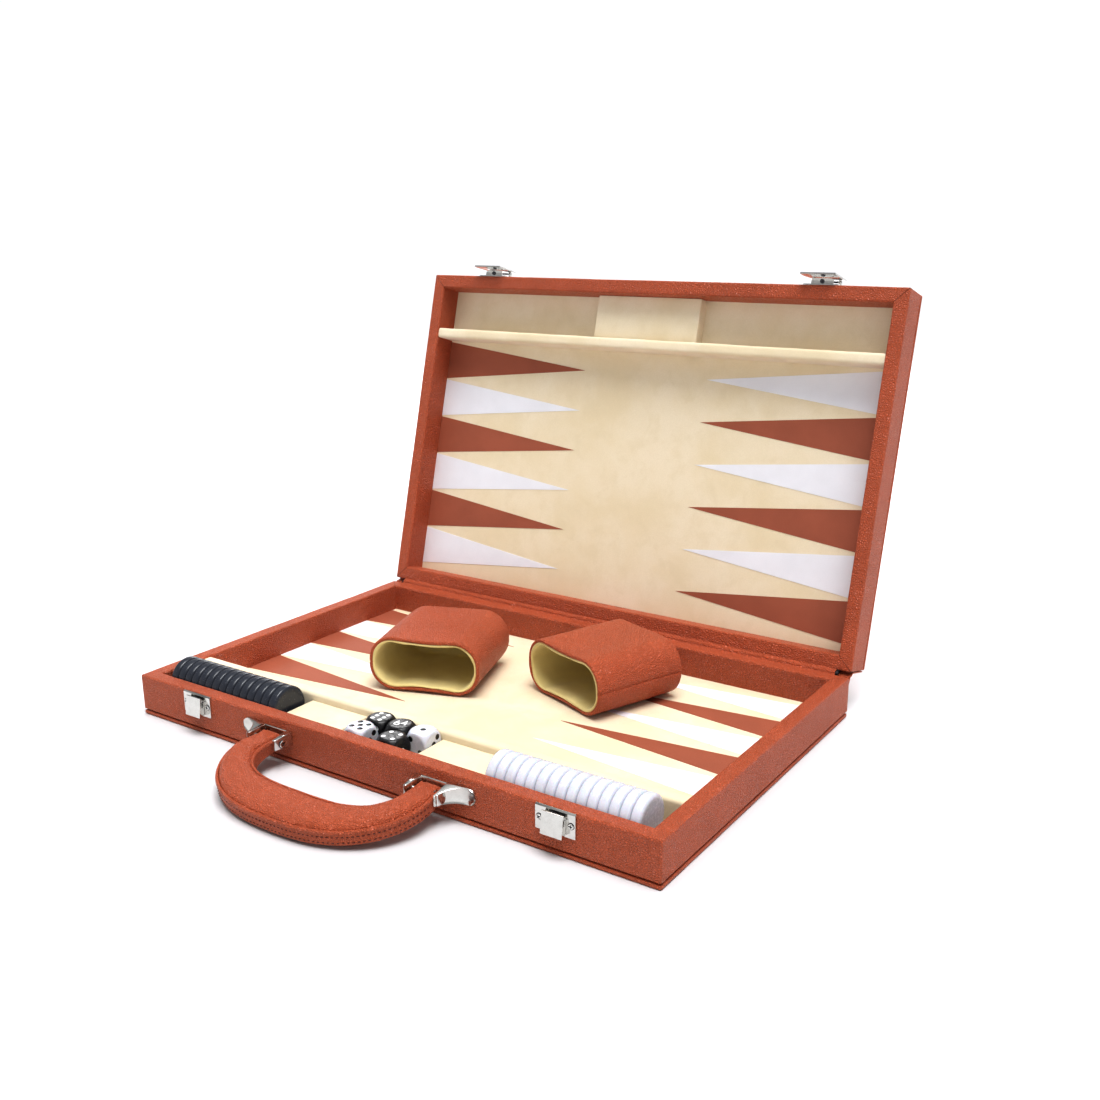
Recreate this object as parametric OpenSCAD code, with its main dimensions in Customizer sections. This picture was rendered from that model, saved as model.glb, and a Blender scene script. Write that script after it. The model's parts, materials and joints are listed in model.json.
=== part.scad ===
// Travelling backgammon set: an attache-style case that opens into the board, with its men,
// dice, doubling cube and two leather dice cups.
//
// Case coordinates: X to the right, Y from the front wall to the hinge, Z up, measured from the
// front left bottom corner. Lid coordinates are the same with the lid closed, and Z is the
// depth above the lid's rim. place_base() and place_lid() bring both to the model's origin,
// the centre of the underside.

/* [Case] */
// Width of the case, side to side
case_w = 380; // [378:1:400]
// Depth of each half, front wall to hinge wall
case_d = 243.5; // [242:0.5:256]
// Height of the base half
base_h = 26.6; // [26:0.1:30]
// Height of the lid half
lid_h = 26.4; // [26:0.1:30]
// Thickness of the leather-covered walls
wall_t = 9.75; // [8:0.25:10.5]
// Thickness of the bottom and top boards
panel_t = 2.4; // [2:0.1:3]
// Height of the floor of the base above the underside
floor_z = 7.2; // [6:0.1:8]
// Angle of the lid from closed, in degrees
lid_open = 104.75; // [0:0.25:180]

/* [Board] */
// Width of one point at its foot
point_pitch = 30; // [28:0.5:30]
// Length of one point
point_len = 130; // [110:1:140]
// Width of the rail between the field and the tray
rail_t = 8.5; // [6:0.5:9]

/* [Men and dice] */
// Diameter of one man
man_d = 27; // [24:0.5:28]
// Thickness of one man, with its gap to the next
man_pitch = 6.3; // [5:0.1:6.3]
// Edge of the dice and of the doubling cube
die_size = 14.8; // [12:0.1:14.8]

/* [Cups] */
// Width of a dice cup
cup_w = 76; // [70:1:80]
// Height of a dice cup that lies on its flat side
cup_h = 38; // [34:0.5:38]
// Depth of a dice cup, mouth to base
cup_len = 68; // [60:1:72]

/* [Handle] */
// Half the distance between the handle's brackets
handle_half = 60; // [58:0.5:62]
// How far the grip reaches from the pivots
handle_reach = 59; // [54:0.5:60]
// How far the handle hangs below level, in degrees
handle_droop = 9; // [4:0.5:9]

/* [Hidden] */
$fn = 48;

// Colours
leather = [0.75, 0.36, 0.24];
suede = [0.93, 0.86, 0.68];
brown = [0.62, 0.33, 0.25];
white = [0.93, 0.93, 0.95];
black = [0.13, 0.14, 0.17];
nickel = [0.82, 0.82, 0.80];
steel = [0.45, 0.45, 0.46];

// Case walls
groove_h = 1.0;
groove_in = 1.6;
inner_w = case_w - 2 * wall_t;
inner_d = case_d - 2 * wall_t;
lid_gap = 0.3;
lid_z = base_h + lid_gap;
lid_floor = 19.3;
skin = 0.2;

// Hinge: the pin stands behind the back walls, level with the lid's rim
hinge_out = 2.07;
knuckle_r = 1.35;
hinge_pin_r = 0.65;
hinge_bore_r = 0.70;
leaf_t = 0.55;
leaf_h = 7.5;
knuckles = 18;
hinge_inset = 8;
knuckle_len = (case_w - 2 * hinge_inset) / knuckles;
knuckle_gap = 0.3;
web_low = 0.6;
web_high = 1.9;

// Tray in front of the rail
rail_top = base_h - 1.25;
tray_d = 31.25;
rail_y = wall_t + tray_d;
rail_round = 2.2;
rail_skip = 0.5;
lid_rail_low = 1.2;
block_h = 13.5;
dice_floor_h = 5.6;
block_left = [112, 157.5];
block_right = [215.2, 266.6];
lid_block_w = 84;
lid_block_low = 10.5;

// Men: three groups of five for each colour
man_gap = 0.1;
man_round = 0.9;
man_y = wall_t + 14.25;
men_in_group = 5;
men_black_x = 15;
men_white_x = 267;
rest_gap = 0.05;

// Dice: centre X, centre Y, turn in degrees
die_white_five_at = [173.4, 17.75, -4];
die_white_one_at = [207.5, 33.0, 0];
die_black_six_at = [174.9, 33.4, 0];
die_black_four_at = [197.9, 17.35, 0];
doubling_cube_at = [191.1, 32.45, 9];
die_round = 0.693;

// Cups: middle of the mouth X, Y and direction from the mouth to the base, in degrees
cup_left_at = [142.5, 110.5, 109.2];
cup_right_at = [227.7, 145.4, 69.6];
cup_corner = 17.8;
cup_wall = 2.3;
cup_base = 3;
lining_t = 1.0;

// Latches: the base half carries a plate, a sprung lever and a hook
latch_x = [54.5, 320.4];
latch_w = 24;
latch_plate_t = 1.0;
latch_low = 12.5;
latch_high = 26.2;
latch_bevel = 0.8;
lever_w = 13;
lever_t = 0.8;
lever_low = 12.6;
lever_high = 24.8;
lever_out_top = 3.5;
lever_out_low = 5.1;
lever_back = 1.15;
lever_pin_y = 2.1;
lever_pin_z = 22.3;
lever_pin_r = 0.5;
lever_eye_r = 1.0;
ear_t = 0.7;
ear_r = 0.8;
ear_gap = 0.15;
spring_r = 0.85;
spring_coils = 7;
pin_play = 0.05;
screw_x = 9.5;
screw_z = 19.3;
screw_head_r = 1.9;
screw_head_h = 0.7;
screw_r = 0.8;
screw_len = 6;

// Lid latch: a plate with two ears and a front tab, and a hasp on a pin
lid_plate_t = 0.9;
lid_plate_low = 2;
lid_plate_high = 15;
hasp_pin_out = 4.2;
hasp_pin_w = 12;
hasp_pin_r = 0.6;
hasp_eye_r = 1.15;
hasp_under = 5.5;
hasp_t = 1.1;
hasp_low = -6;
hasp_high = 15.2;
hasp_ear_x = 9.3;
hasp_lug_x = 8.3;
hasp_ear_t = 0.8;
tab_w = 15;
tab_low = 3.8;
tab_t = 0.9;
tab_out = 5.0;
tab_round = 2;
stud_r = 1.4;
stud_h = 0.8;
stud_out = 3.0;
lid_screw_x = 9.8;
lid_screw_w = 5.6;
lid_screw_head_r = 1.5;
lid_screw_head_h = 0.6;

// Handle brackets, in their own X from the bracket's middle, outboard positive
handle_x = 183.5;
pivot_y = -7.5;
pivot_z = 16;
bracket_low = 12.5;
bracket_high = 21;
bracket_front_low = 13.2;
bracket_front_high = 19.8;
bracket_plate_t = 1.0;
cheek_in_wall = 8.6;
cheek_in_front = 9.6;
cheek_out_wall = 13.0;
cheek_out_front = 11.7;
cheek_front = 13;
wing_front = 14;
wing_end = 27.5;
wing_r = 9.7;
wing_x = 23.2;
wing_t = 1.2;
wing_low = 11.8;
wing_high = 21.8;
wing_round = (wing_high - wing_low) / 2;
handle_pin_r = 1.5;
handle_pin_play = 0.07;
handle_head_r = 2.6;
handle_head_h = 0.9;
head_seat = 12.0;

// Handle body: a flat stitched band, a padded top and a steel core with the pivot eyes
band_low = -5.5;
band_high = 3;
grip_half = 70.5;
grip_power = 2.5;
gap_half = 52.6;
gap_reach = 33;
gap_power = 3.2;
arm_back = 4.5;
neck_in = 2.9;
neck_len = 24;
pad_in = 1.3;
pad_low_h = 2.3;
pad_high_h = 1.4;
pad_high_in = 3.6;
pad_high_from = 9;
core_in = 5.6;
core_low = -1.8;
core_t = 1.6;
eye_r = 2.8;
eye_len = 11;
curve_steps = 28;

module place_base()
    translate([-case_w / 2, -case_d / 2, 0]) children();

module place_lid()
    place_base()
        translate([0, case_d + hinge_out, lid_z])
            rotate([-lid_open, 0, 0])
                translate([0, -case_d - hinge_out, 0])
                    children();

// A bar along X with an outline drawn in Y and Z
module bar_x(x, length)
    translate([x, 0, 0]) rotate([90, 0, 90]) linear_extrude(length) children();

// A round bar along X
module pin_x(x, y, z, r, length)
    translate([x, y, z]) rotate([0, 90, 0]) cylinder(r = r, h = length);

// ---------------------------------------------------------------- case halves

// Walls between two heights, with a shadow groove on the board's side
module wall_ring(low, high, inset)
    difference() {
        translate([inset, inset, low]) cube([case_w - 2 * inset, case_d - 2 * inset, high - low]);
        translate([wall_t, wall_t, low - 1]) cube([inner_w, inner_d, high - low + 2]);
    }

module base_frame() color(leather) place_base() {
    wall_ring(panel_t, panel_t + groove_h, groove_in);
    wall_ring(panel_t + groove_h, base_h, 0);
}

module base_panel() color(leather) place_base()
    cube([case_w, case_d, panel_t]);

module base_field() color(suede) place_base()
    translate([wall_t, wall_t, panel_t]) cube([inner_w, inner_d, floor_z - panel_t]);

module lid_frame() color(leather) place_lid() {
    wall_ring(0, lid_h - panel_t - groove_h, 0);
    wall_ring(lid_h - panel_t - groove_h, lid_h - panel_t, groove_in);
}

module lid_panel() color(leather) place_lid()
    translate([0, 0, lid_h - panel_t]) cube([case_w, case_d, panel_t]);

module lid_field() color(suede) place_lid()
    translate([wall_t, wall_t, lid_floor]) cube([inner_w, inner_d, lid_h - panel_t - lid_floor]);

// ---------------------------------------------------------------- board

// The points of one colour: rows of one side whose number has the given parity
module points(first_y, left_parity, z) {
    for (row = [0 : 5]) {
        left = row % 2 == left_parity;
        translate([left ? wall_t : case_w - wall_t, first_y + row * point_pitch, z])
            mirror([left ? 0 : 1, 0, 0])
                linear_extrude(skin)
                    polygon([[0, rail_skip - point_pitch / 2], [point_len, 0],
                             [0, point_pitch / 2 - rail_skip]]);
    }
}

base_first = rail_y + rail_t + point_pitch / 2;

module base_points_brown() color(brown) place_base() points(base_first, 1, floor_z);
module base_points_white() color(white) place_base() points(base_first, 0, floor_z);
module lid_points_brown() color(brown) place_lid() points(base_first, 0, lid_floor - skin);
module lid_points_white() color(white) place_lid() points(base_first, 1, lid_floor - skin);

// Outline of a rail that stands on the floor, with a rounded top
module rail_outline(width, height)
    union() {
        square([width, height - rail_round]);
        translate([rail_round, 0]) square([width - 2 * rail_round, height]);
        translate([rail_round, height - rail_round]) circle(r = rail_round);
        translate([width - rail_round, height - rail_round]) circle(r = rail_round);
    }

module base_rail() color(suede) place_base()
    translate([0, rail_y, floor_z]) bar_x(wall_t, inner_w) rail_outline(rail_t, rail_top - floor_z);

module lid_rail() color(suede) place_lid()
    translate([0, rail_y + rail_skip, lid_floor]) mirror([0, 0, 1])
        bar_x(wall_t, inner_w) rail_outline(rail_t - 2 * rail_skip, lid_floor - lid_rail_low);

module tray_block(span)
    place_base() translate([span[0], wall_t, floor_z]) cube([span[1] - span[0], tray_d, block_h]);

module tray_block_left() color(suede) tray_block(block_left);
module tray_block_right() color(suede) tray_block(block_right);

module dice_tray() color(suede) place_base()
    translate([block_left[1], wall_t, floor_z])
        cube([block_right[0] - block_left[1], tray_d, dice_floor_h]);

module lid_block() color(suede) place_lid()
    translate([(case_w - lid_block_w) / 2, wall_t, lid_block_low])
        cube([lid_block_w, tray_d + rail_skip, lid_floor - lid_block_low]);

// ---------------------------------------------------------------- hinge

// Knuckles of one leaf, every second place along the pin; side is 1 for the lid, -1 for the base
module knuckle_row(first, side)
    for (i = [first : 2 : knuckles - 1])
        translate([hinge_inset + i * knuckle_len + knuckle_gap / 2, case_d, 0])
            difference() {
                union() {
                    pin_x(0, hinge_out, 0, knuckle_r, knuckle_len - knuckle_gap);
                    translate([0, 0, side > 0 ? web_low : -web_high])
                        cube([knuckle_len - knuckle_gap, hinge_out, web_high - web_low]);
                }
                pin_x(-1, hinge_out, 0, hinge_bore_r, knuckle_len + 2);
            }

module leaf(side)
    translate([hinge_inset, case_d, side > 0 ? web_low : -leaf_h])
        cube([case_w - 2 * hinge_inset, leaf_t, leaf_h - web_low]);

module hinge_leaf_base() color(steel) place_base() translate([0, 0, lid_z]) {
    leaf(-1);
    knuckle_row(0, -1);
}

module hinge_leaf_lid() color(steel) place_lid() {
    leaf(1);
    knuckle_row(1, 1);
}

module hinge_pin() color(steel) place_base()
    pin_x(hinge_inset, case_d + hinge_out, lid_z, hinge_pin_r, case_w - 2 * hinge_inset);

// Outline of the leather strip on one back wall: flat on the wall, then over the hinge leaf
spine_t = 0.8;
spine_low = 3.4;
spine_step = lid_z - leaf_h - 0.6;
spine_high = lid_z - 2.4;

module spine_outline()
    polygon([[0, spine_low], [spine_t, spine_low], [spine_t, spine_step - 1],
             [spine_t + leaf_t, spine_step], [spine_t + leaf_t, spine_high],
             [leaf_t, spine_high], [leaf_t, spine_step + 0.4], [0, spine_step + 0.4]]);

module spine_base() color(leather) place_base()
    translate([0, case_d, 0]) bar_x(0, case_w) spine_outline();

module spine_lid() color(leather) place_lid()
    translate([0, case_d, lid_z]) mirror([0, 0, 1]) bar_x(0, case_w) spine_outline();

// ---------------------------------------------------------------- base latches

module latch_screw(x, z, out)
    translate([x, -out, z]) rotate([90, 0, 0]) {
        rotate_extrude()
            polygon([[0, 0], [screw_head_r, 0], [screw_head_r, screw_head_h * 0.4],
                     [screw_head_r * 0.6, screw_head_h], [0, screw_head_h]]);
        translate([0, 0, -screw_len]) cylinder(r = screw_r, h = screw_len);
    }

module latch_plate(x)
    place_base() translate([x, 0, 0]) {
        difference() {
            bar_x(-latch_w / 2, latch_w)
                polygon([[0, latch_low], [-latch_plate_t, latch_low],
                         [-latch_plate_t, latch_high - latch_bevel],
                         [latch_bevel - latch_plate_t, latch_high], [0, latch_high]]);
            for (side = [-1, 1])
                translate([side * screw_x, 1, screw_z]) rotate([90, 0, 0])
                    cylinder(r = screw_r, h = 3);
        }
        for (side = [-1, 1])
            ear(side * (lever_w / 2 - lever_t - ear_gap - ear_t / 2));
    }

module ear(x)
    difference() {
        union() {
            translate([x - ear_t / 2, -lever_pin_y, lever_pin_z - ear_r])
                cube([ear_t, lever_pin_y - latch_plate_t, 2 * ear_r]);
            pin_x(x - ear_t / 2, -lever_pin_y, lever_pin_z, ear_r, ear_t);
        }
        pin_x(x - ear_t, -lever_pin_y, lever_pin_z, lever_pin_r, 2 * ear_t);
    }

module latch_plate_left() color(nickel) latch_plate(latch_x[0]);
module latch_plate_right() color(nickel) latch_plate(latch_x[1]);

// Side outline of the lever; the pocket outline is the same, set in by the metal
module lever_outline()
    union() {
        polygon([[-lever_out_low, lever_low], [-lever_back, lever_low + 1],
                 [-lever_back, lever_pin_z], [-lever_pin_y, lever_pin_z + lever_eye_r],
                 [-lever_out_top + lever_t, lever_high], [-lever_out_top, lever_high]]);
        translate([-lever_pin_y, lever_pin_z]) circle(r = lever_eye_r);
    }

module lever_pocket()
    polygon([[-lever_out_low + lever_t, lever_low - 1], [0, lever_low - 1], [0, lever_high + 1],
             [-lever_out_top + lever_t + 0.13, lever_high + 1],
             [-lever_out_top + lever_t, lever_high], [-lever_out_low + lever_t, lever_low]]);

module latch_lever(x)
    place_base() translate([x, 0, 0])
        difference() {
            bar_x(-lever_w / 2, lever_w) lever_outline();
            bar_x(-lever_w / 2 + lever_t, lever_w - 2 * lever_t) lever_pocket();
            pin_x(-lever_w, -lever_pin_y, lever_pin_z, lever_pin_r + pin_play, 2 * lever_w);
        }

module latch_lever_left() color(nickel) latch_lever(latch_x[0]);
module latch_lever_right() color(nickel) latch_lever(latch_x[1]);

hook_w = 3;
hook_low = 23.8;
hook_high = 25.0;
hook_back = 2.3;

module latch_hook(x)
    place_base() translate([x, 0, 0])
        bar_x(-hook_w / 2, hook_w)
            polygon([[-2.83, hook_low], [-2.7, lever_high], [-2.7, hook_high],
                     [-hook_back, hook_high], [-hook_back, hook_low]]);

module latch_hook_left() color(steel) latch_hook(latch_x[0]);
module latch_hook_right() color(steel) latch_hook(latch_x[1]);

module latch_pins() color(steel) place_base()
    for (x = latch_x)
        pin_x(x - lever_w / 2, -lever_pin_y, lever_pin_z, lever_pin_r, lever_w);

// Torsion springs, one around each lever pin
spring_half = 3.6;
spring_pitch = 2 * spring_half / spring_coils;

module latch_springs() color(steel) place_base()
    for (x = latch_x)
        translate([x - spring_half, -lever_pin_y, lever_pin_z]) rotate([0, 90, 0])
            rotate_extrude()
                union() {
                    translate([lever_pin_r, 0])
                        square([(spring_r - lever_pin_r) / 2, 2 * spring_half]);
                    for (i = [0 : spring_coils - 1])
                        translate([lever_pin_r, (i + 0.15) * spring_pitch])
                            square([spring_r - lever_pin_r, 0.7 * spring_pitch]);
                }

module latch_screws() color(nickel) place_base()
    for (x = latch_x, side = [-1, 1])
        latch_screw(x + side * screw_x, screw_z, latch_plate_t);

// ---------------------------------------------------------------- lid latches

module lid_latch_plate(x)
    place_lid() translate([x, 0, 0]) {
        difference() {
            translate([-latch_w / 2, -lid_plate_t, lid_plate_low])
                cube([latch_w, lid_plate_t, lid_plate_high - lid_plate_low]);
            for (side = [-1, 1])
                translate([side * lid_screw_x, 1, lid_screw_w]) rotate([90, 0, 0])
                    cylinder(r = screw_r, h = 3);
        }
        for (side = [-1, 1])
            hasp_eye(side * (hasp_ear_x + hasp_ear_t / 2), -lid_plate_t, hasp_pin_r);
        translate([0, 0, tab_low]) linear_extrude(tab_t) tab_outline();
    }

// An eye around the hasp's pin, joined to the plate or to the flap
module hasp_eye(x, root, bore)
    difference() {
        union() {
            pin_x(x - hasp_ear_t / 2, -hasp_pin_out, hasp_pin_w, hasp_eye_r, hasp_ear_t);
            translate([x - hasp_ear_t / 2, min(root, -hasp_pin_out), hasp_pin_w - hasp_eye_r])
                cube([hasp_ear_t, abs(root + hasp_pin_out), 2 * hasp_eye_r]);
        }
        pin_x(x - hasp_ear_t, -hasp_pin_out, hasp_pin_w, bore, 2 * hasp_ear_t);
    }

module tab_outline()
    union() {
        translate([-tab_w / 2, tab_round - tab_out])
            square([tab_w, tab_out - lid_plate_t - tab_round]);
        translate([tab_round - tab_w / 2, -tab_out])
            square([tab_w - 2 * tab_round, tab_out - lid_plate_t]);
        for (side = [-1, 1])
            translate([side * (tab_w / 2 - tab_round), tab_round - tab_out])
                circle(r = tab_round);
    }

module lid_latch_plate_left() color(nickel) lid_latch_plate(latch_x[0]);
module lid_latch_plate_right() color(nickel) lid_latch_plate(latch_x[1]);

module hasp(x)
    place_lid() translate([x, 0, 0]) {
        translate([-latch_w / 2, -hasp_under - hasp_t, hasp_low])
            cube([latch_w, hasp_t, hasp_high - hasp_low]);
        for (side = [-1, 1])
            hasp_eye(side * (hasp_lug_x + hasp_ear_t / 2), -hasp_under, hasp_pin_r + pin_play);
    }

module hasp_left() color(nickel) hasp(latch_x[0]);
module hasp_right() color(nickel) hasp(latch_x[1]);

module hasp_pins() color(steel) place_lid()
    for (x = latch_x)
        pin_x(x - hasp_ear_x - hasp_ear_t, -hasp_pin_out, hasp_pin_w, hasp_pin_r,
              2 * (hasp_ear_x + hasp_ear_t));

module lid_latch_studs() color(steel) place_lid()
    for (x = latch_x)
        translate([x, -stud_out, tab_low - stud_h]) cylinder(r = stud_r, h = stud_h);

module lid_latch_screws() color(nickel) place_lid()
    for (x = latch_x, side = [-1, 1])
        translate([x + side * lid_screw_x, -lid_plate_t, lid_screw_w]) rotate([90, 0, 0]) {
            cylinder(r = lid_screw_head_r, h = lid_screw_head_h);
            translate([0, 0, -screw_len]) cylinder(r = screw_r, h = screw_len);
        }

// ---------------------------------------------------------------- handle

// Plan of the bracket: back plate, plain inboard cheek, outboard cheek with a concave wing
module bracket_plan()
    union() {
        translate([-cheek_out_wall, -bracket_plate_t])
            square([2 * cheek_out_wall, bracket_plate_t]);
        polygon([[-cheek_in_wall, 0], [-cheek_out_wall, 0], [-cheek_out_wall, -bracket_plate_t],
                 [-cheek_out_front, -cheek_front], [-cheek_in_front, -cheek_front],
                 [-cheek_in_wall, -bracket_plate_t]]);
        difference() {
            polygon([[cheek_in_wall, 0], [cheek_in_wall, -bracket_plate_t],
                     [cheek_in_front, -wing_front], [wing_x, -wing_front],
                     [wing_x, -wing_t], [wing_end, -wing_t], [wing_end, 0]]);
            translate([wing_x, -wing_t - wing_r]) circle(r = wing_r);
            translate([wing_x - wing_r, -wing_front - 1])
                square([wing_r + 1, wing_front + 1 - wing_t - wing_r]);
        }
    }

// Side view of the bracket, in X and Z, with the wing's round end
module bracket_side()
    union() {
        translate([-cheek_out_wall, bracket_low])
            square([cheek_out_wall + cheek_in_wall + 2, bracket_high - bracket_low]);
        translate([cheek_in_wall, wing_low])
            square([wing_end - wing_round - cheek_in_wall, wing_high - wing_low]);
        translate([wing_end - wing_round, (wing_low + wing_high) / 2]) circle(r = wing_round);
    }

// The cheeks get lower towards the front
module bracket_taper()
    bar_x(-cheek_out_wall - 1, cheek_out_wall + wing_end + 2)
        polygon([[1, wing_low - 1], [0, wing_low - 1], [-wing_front - 1, bracket_front_low],
                 [-wing_front - 1, bracket_front_high], [0, wing_high + 1], [1, wing_high + 1]]);

module handle_bracket(side)
    place_base() translate([handle_x + side * handle_half, 0, 0])
        mirror([side > 0 ? 0 : 1, 0, 0])
            difference() {
                intersection() {
                    translate([0, 0, wing_low]) linear_extrude(wing_high - wing_low)
                        bracket_plan();
                    translate([0, 1, 0]) rotate([90, 0, 0]) linear_extrude(wing_front + 3)
                        bracket_side();
                    bracket_taper();
                }
                pin_x(-head_seat - 1, pivot_y, pivot_z, handle_pin_r, 2 * head_seat);
                pin_x(-head_seat - 4, pivot_y, pivot_z, handle_head_r + 0.1, 4);
            }

module handle_bracket_left() color(nickel) handle_bracket(-1);
module handle_bracket_right() color(nickel) handle_bracket(1);

module handle_pins() color(steel) place_base()
    for (side = [-1, 1])
        translate([handle_x + side * handle_half, 0, 0]) mirror([side > 0 ? 0 : 1, 0, 0]) {
            pin_x(-head_seat, pivot_y, pivot_z, handle_pin_r, 2 * head_seat - 1);
            pin_x(-head_seat - handle_head_h, pivot_y, pivot_z, handle_head_r, handle_head_h);
        }

module place_handle()
    place_base() translate([handle_x, pivot_y, pivot_z]) rotate([handle_droop, 0, 0]) children();

// Half width of a rounded outline at a distance s in front of the pivots
function curve_x(s, half, reach, power) = half * pow(1 - pow(s / reach, power), 1 / power);

// The arms narrow towards the brackets
function neck(s) = neck_in * pow(max(0, 1 - s / neck_len), 2);

// Steps that crowd towards the end of the curve
function curve_s(i, reach) = reach * sin(90 * i / curve_steps);

// Right half of the outer outline, then of the inner outline, both set in by the same distance
function outer_half(inset) =
    [for (i = [0 : curve_steps])
        let (s = curve_s(i, handle_reach - inset))
            [curve_x(s, grip_half - inset, handle_reach - inset, grip_power) - neck(s), -s]];
function inner_half(inset) =
    [for (i = [0 : curve_steps])
        let (s = curve_s(i, gap_reach + inset))
            [curve_x(s, gap_half + inset, gap_reach + inset, gap_power), -s]];

function flip(points) = [for (p = points) [-p[0], p[1]]];
function backwards(points) = [for (i = [len(points) - 1 : -1 : 0]) points[i]];

// Plan of the handle, set in by a distance, with its arms from arm_back behind the pivots
module handle_plan(inset, back)
    polygon(concat(
        [[grip_half - neck_in - inset, back]], outer_half(inset),
        backwards(flip(outer_half(inset))), [[-grip_half + neck_in + inset, back]],
        [[-gap_half - inset, back]], flip(inner_half(inset)),
        backwards(inner_half(inset)), [[gap_half + inset, back]]));

module core_solid() {
    translate([0, 0, core_low]) linear_extrude(core_t) handle_plan(core_in, 0);
    for (side = [-1, 1])
        pin_x(side * handle_half - eye_len / 2 + side * 0.6, 0, 0, eye_r, eye_len);
}

module pivot_bores(r)
    pin_x(-grip_half - 5, 0, 0, r, 2 * grip_half + 10);

module handle_band() color(leather) place_handle()
    difference() {
        translate([0, 0, band_low]) linear_extrude(band_high - band_low)
            handle_plan(0, arm_back);
        core_solid();
        pivot_bores(handle_pin_r + handle_pin_play);
    }

module handle_pad() color(leather) place_handle() {
    translate([0, 0, band_high]) linear_extrude(pad_low_h) handle_plan(pad_in, arm_back - 2.5);
    translate([0, 0, band_high + pad_low_h]) linear_extrude(pad_high_h)
        difference() {
            handle_plan(pad_high_in, 0);
            translate([-grip_half, -pad_high_from]) square([2 * grip_half, pad_high_from + 1]);
        }
}

module handle_core() color(steel) place_handle()
    difference() {
        core_solid();
        pivot_bores(handle_pin_r + handle_pin_play);
    }

// ---------------------------------------------------------------- cups

// A racetrack: a rectangle with large round corners, standing on Y = 0
module racetrack(width, height, corner)
    translate([0, height / 2]) {
        square([width - 2 * corner, height], center = true);
        square([width, height - 2 * corner], center = true);
        for (sx = [-1, 1], sy = [-1, 1])
            translate([sx * (width / 2 - corner), sy * (height / 2 - corner)])
                circle(r = corner);
    }

// A cup's outline set in by a distance
module cup_section(inset)
    translate([0, inset])
        racetrack(cup_w - 2 * inset, cup_h - 2 * inset, cup_corner - inset);

module place_cup(at)
    place_base() translate([at[0], at[1], floor_z + skin + rest_gap]) rotate([0, 0, at[2]])
        children();

module cup_shell(at) place_cup(at)
    difference() {
        bar_x(0, cup_len) cup_section(0);
        bar_x(-1, cup_len - cup_base + 1) cup_section(cup_wall);
    }

module cup_inside(at) place_cup(at)
    difference() {
        bar_x(0, cup_len - cup_base) cup_section(cup_wall);
        bar_x(-1, cup_len - cup_base - lining_t + 1) cup_section(cup_wall + lining_t);
    }

module cup_left() color(leather) cup_shell(cup_left_at);
module cup_right() color(leather) cup_shell(cup_right_at);
module cup_lining_left() color(suede) cup_inside(cup_left_at);
module cup_lining_right() color(suede) cup_inside(cup_right_at);

// ---------------------------------------------------------------- dice and men

module die(at)
    place_base()
        translate([at[0], at[1], floor_z + dice_floor_h + rest_gap + die_size / 2])
            rotate([0, 0, at[2]])
                intersection() {
                    cube(die_size, center = true);
                    sphere(r = die_size * die_round);
                }

module die_white_five() color(white) die(die_white_five_at);
module die_white_one() color(white) die(die_white_one_at);
module die_black_six() color(black) die(die_black_six_at);
module die_black_four() color(black) die(die_black_four_at);
module doubling_cube() color(black) die(doubling_cube_at);

// Half outline of one man: a disc with a rounded rim
module man_outline()
    union() {
        square([man_d / 2 - man_round, man_pitch - man_gap]);
        translate([0, man_round]) square([man_d / 2, man_pitch - man_gap - 2 * man_round]);
        translate([man_d / 2 - man_round, man_round]) circle(r = man_round);
        translate([man_d / 2 - man_round, man_pitch - man_gap - man_round])
            circle(r = man_round);
    }

module man()
    rotate([0, 90, 0]) rotate_extrude($fn = 96)
        intersection() {
            man_outline();
            square([man_d, man_pitch]);
        }

// One group of men that stand on edge side by side
module men(first_x, group)
    place_base()
        for (i = [0 : men_in_group - 1])
            translate([first_x + (group * men_in_group + i) * man_pitch + man_gap / 2, man_y,
                       floor_z + rest_gap + man_d / 2])
                man();

module men_black_a() color(black) men(men_black_x, 0);
module men_black_b() color(black) men(men_black_x, 1);
module men_black_c() color(black) men(men_black_x, 2);
module men_white_a() color(white) men(men_white_x, 0);
module men_white_b() color(white) men(men_white_x, 1);
module men_white_c() color(white) men(men_white_x, 2);

base_frame();
base_panel();
base_field();
base_points_brown();
base_points_white();
base_rail();
tray_block_left();
tray_block_right();
dice_tray();
lid_frame();
lid_panel();
lid_field();
lid_points_brown();
lid_points_white();
lid_rail();
lid_block();
hinge_leaf_base();
hinge_leaf_lid();
hinge_pin();
spine_base();
spine_lid();
latch_plate_left();
latch_plate_right();
latch_lever_left();
latch_lever_right();
latch_hook_left();
latch_hook_right();
latch_pins();
latch_springs();
latch_screws();
lid_latch_plate_left();
lid_latch_plate_right();
hasp_left();
hasp_right();
hasp_pins();
lid_latch_studs();
lid_latch_screws();
handle_bracket_left();
handle_bracket_right();
handle_pins();
handle_band();
handle_pad();
handle_core();
cup_left();
cup_lining_left();
cup_right();
cup_lining_right();
die_white_five();
die_white_one();
die_black_six();
die_black_four();
doubling_cube();
men_black_a();
men_black_b();
men_black_c();
men_white_a();
men_white_b();
men_white_c();
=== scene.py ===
"""Visual model of a travelling backgammon set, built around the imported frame."""
import json
import math
import bmesh
import bpy
from mathutils import Matrix, Vector, noise


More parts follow.
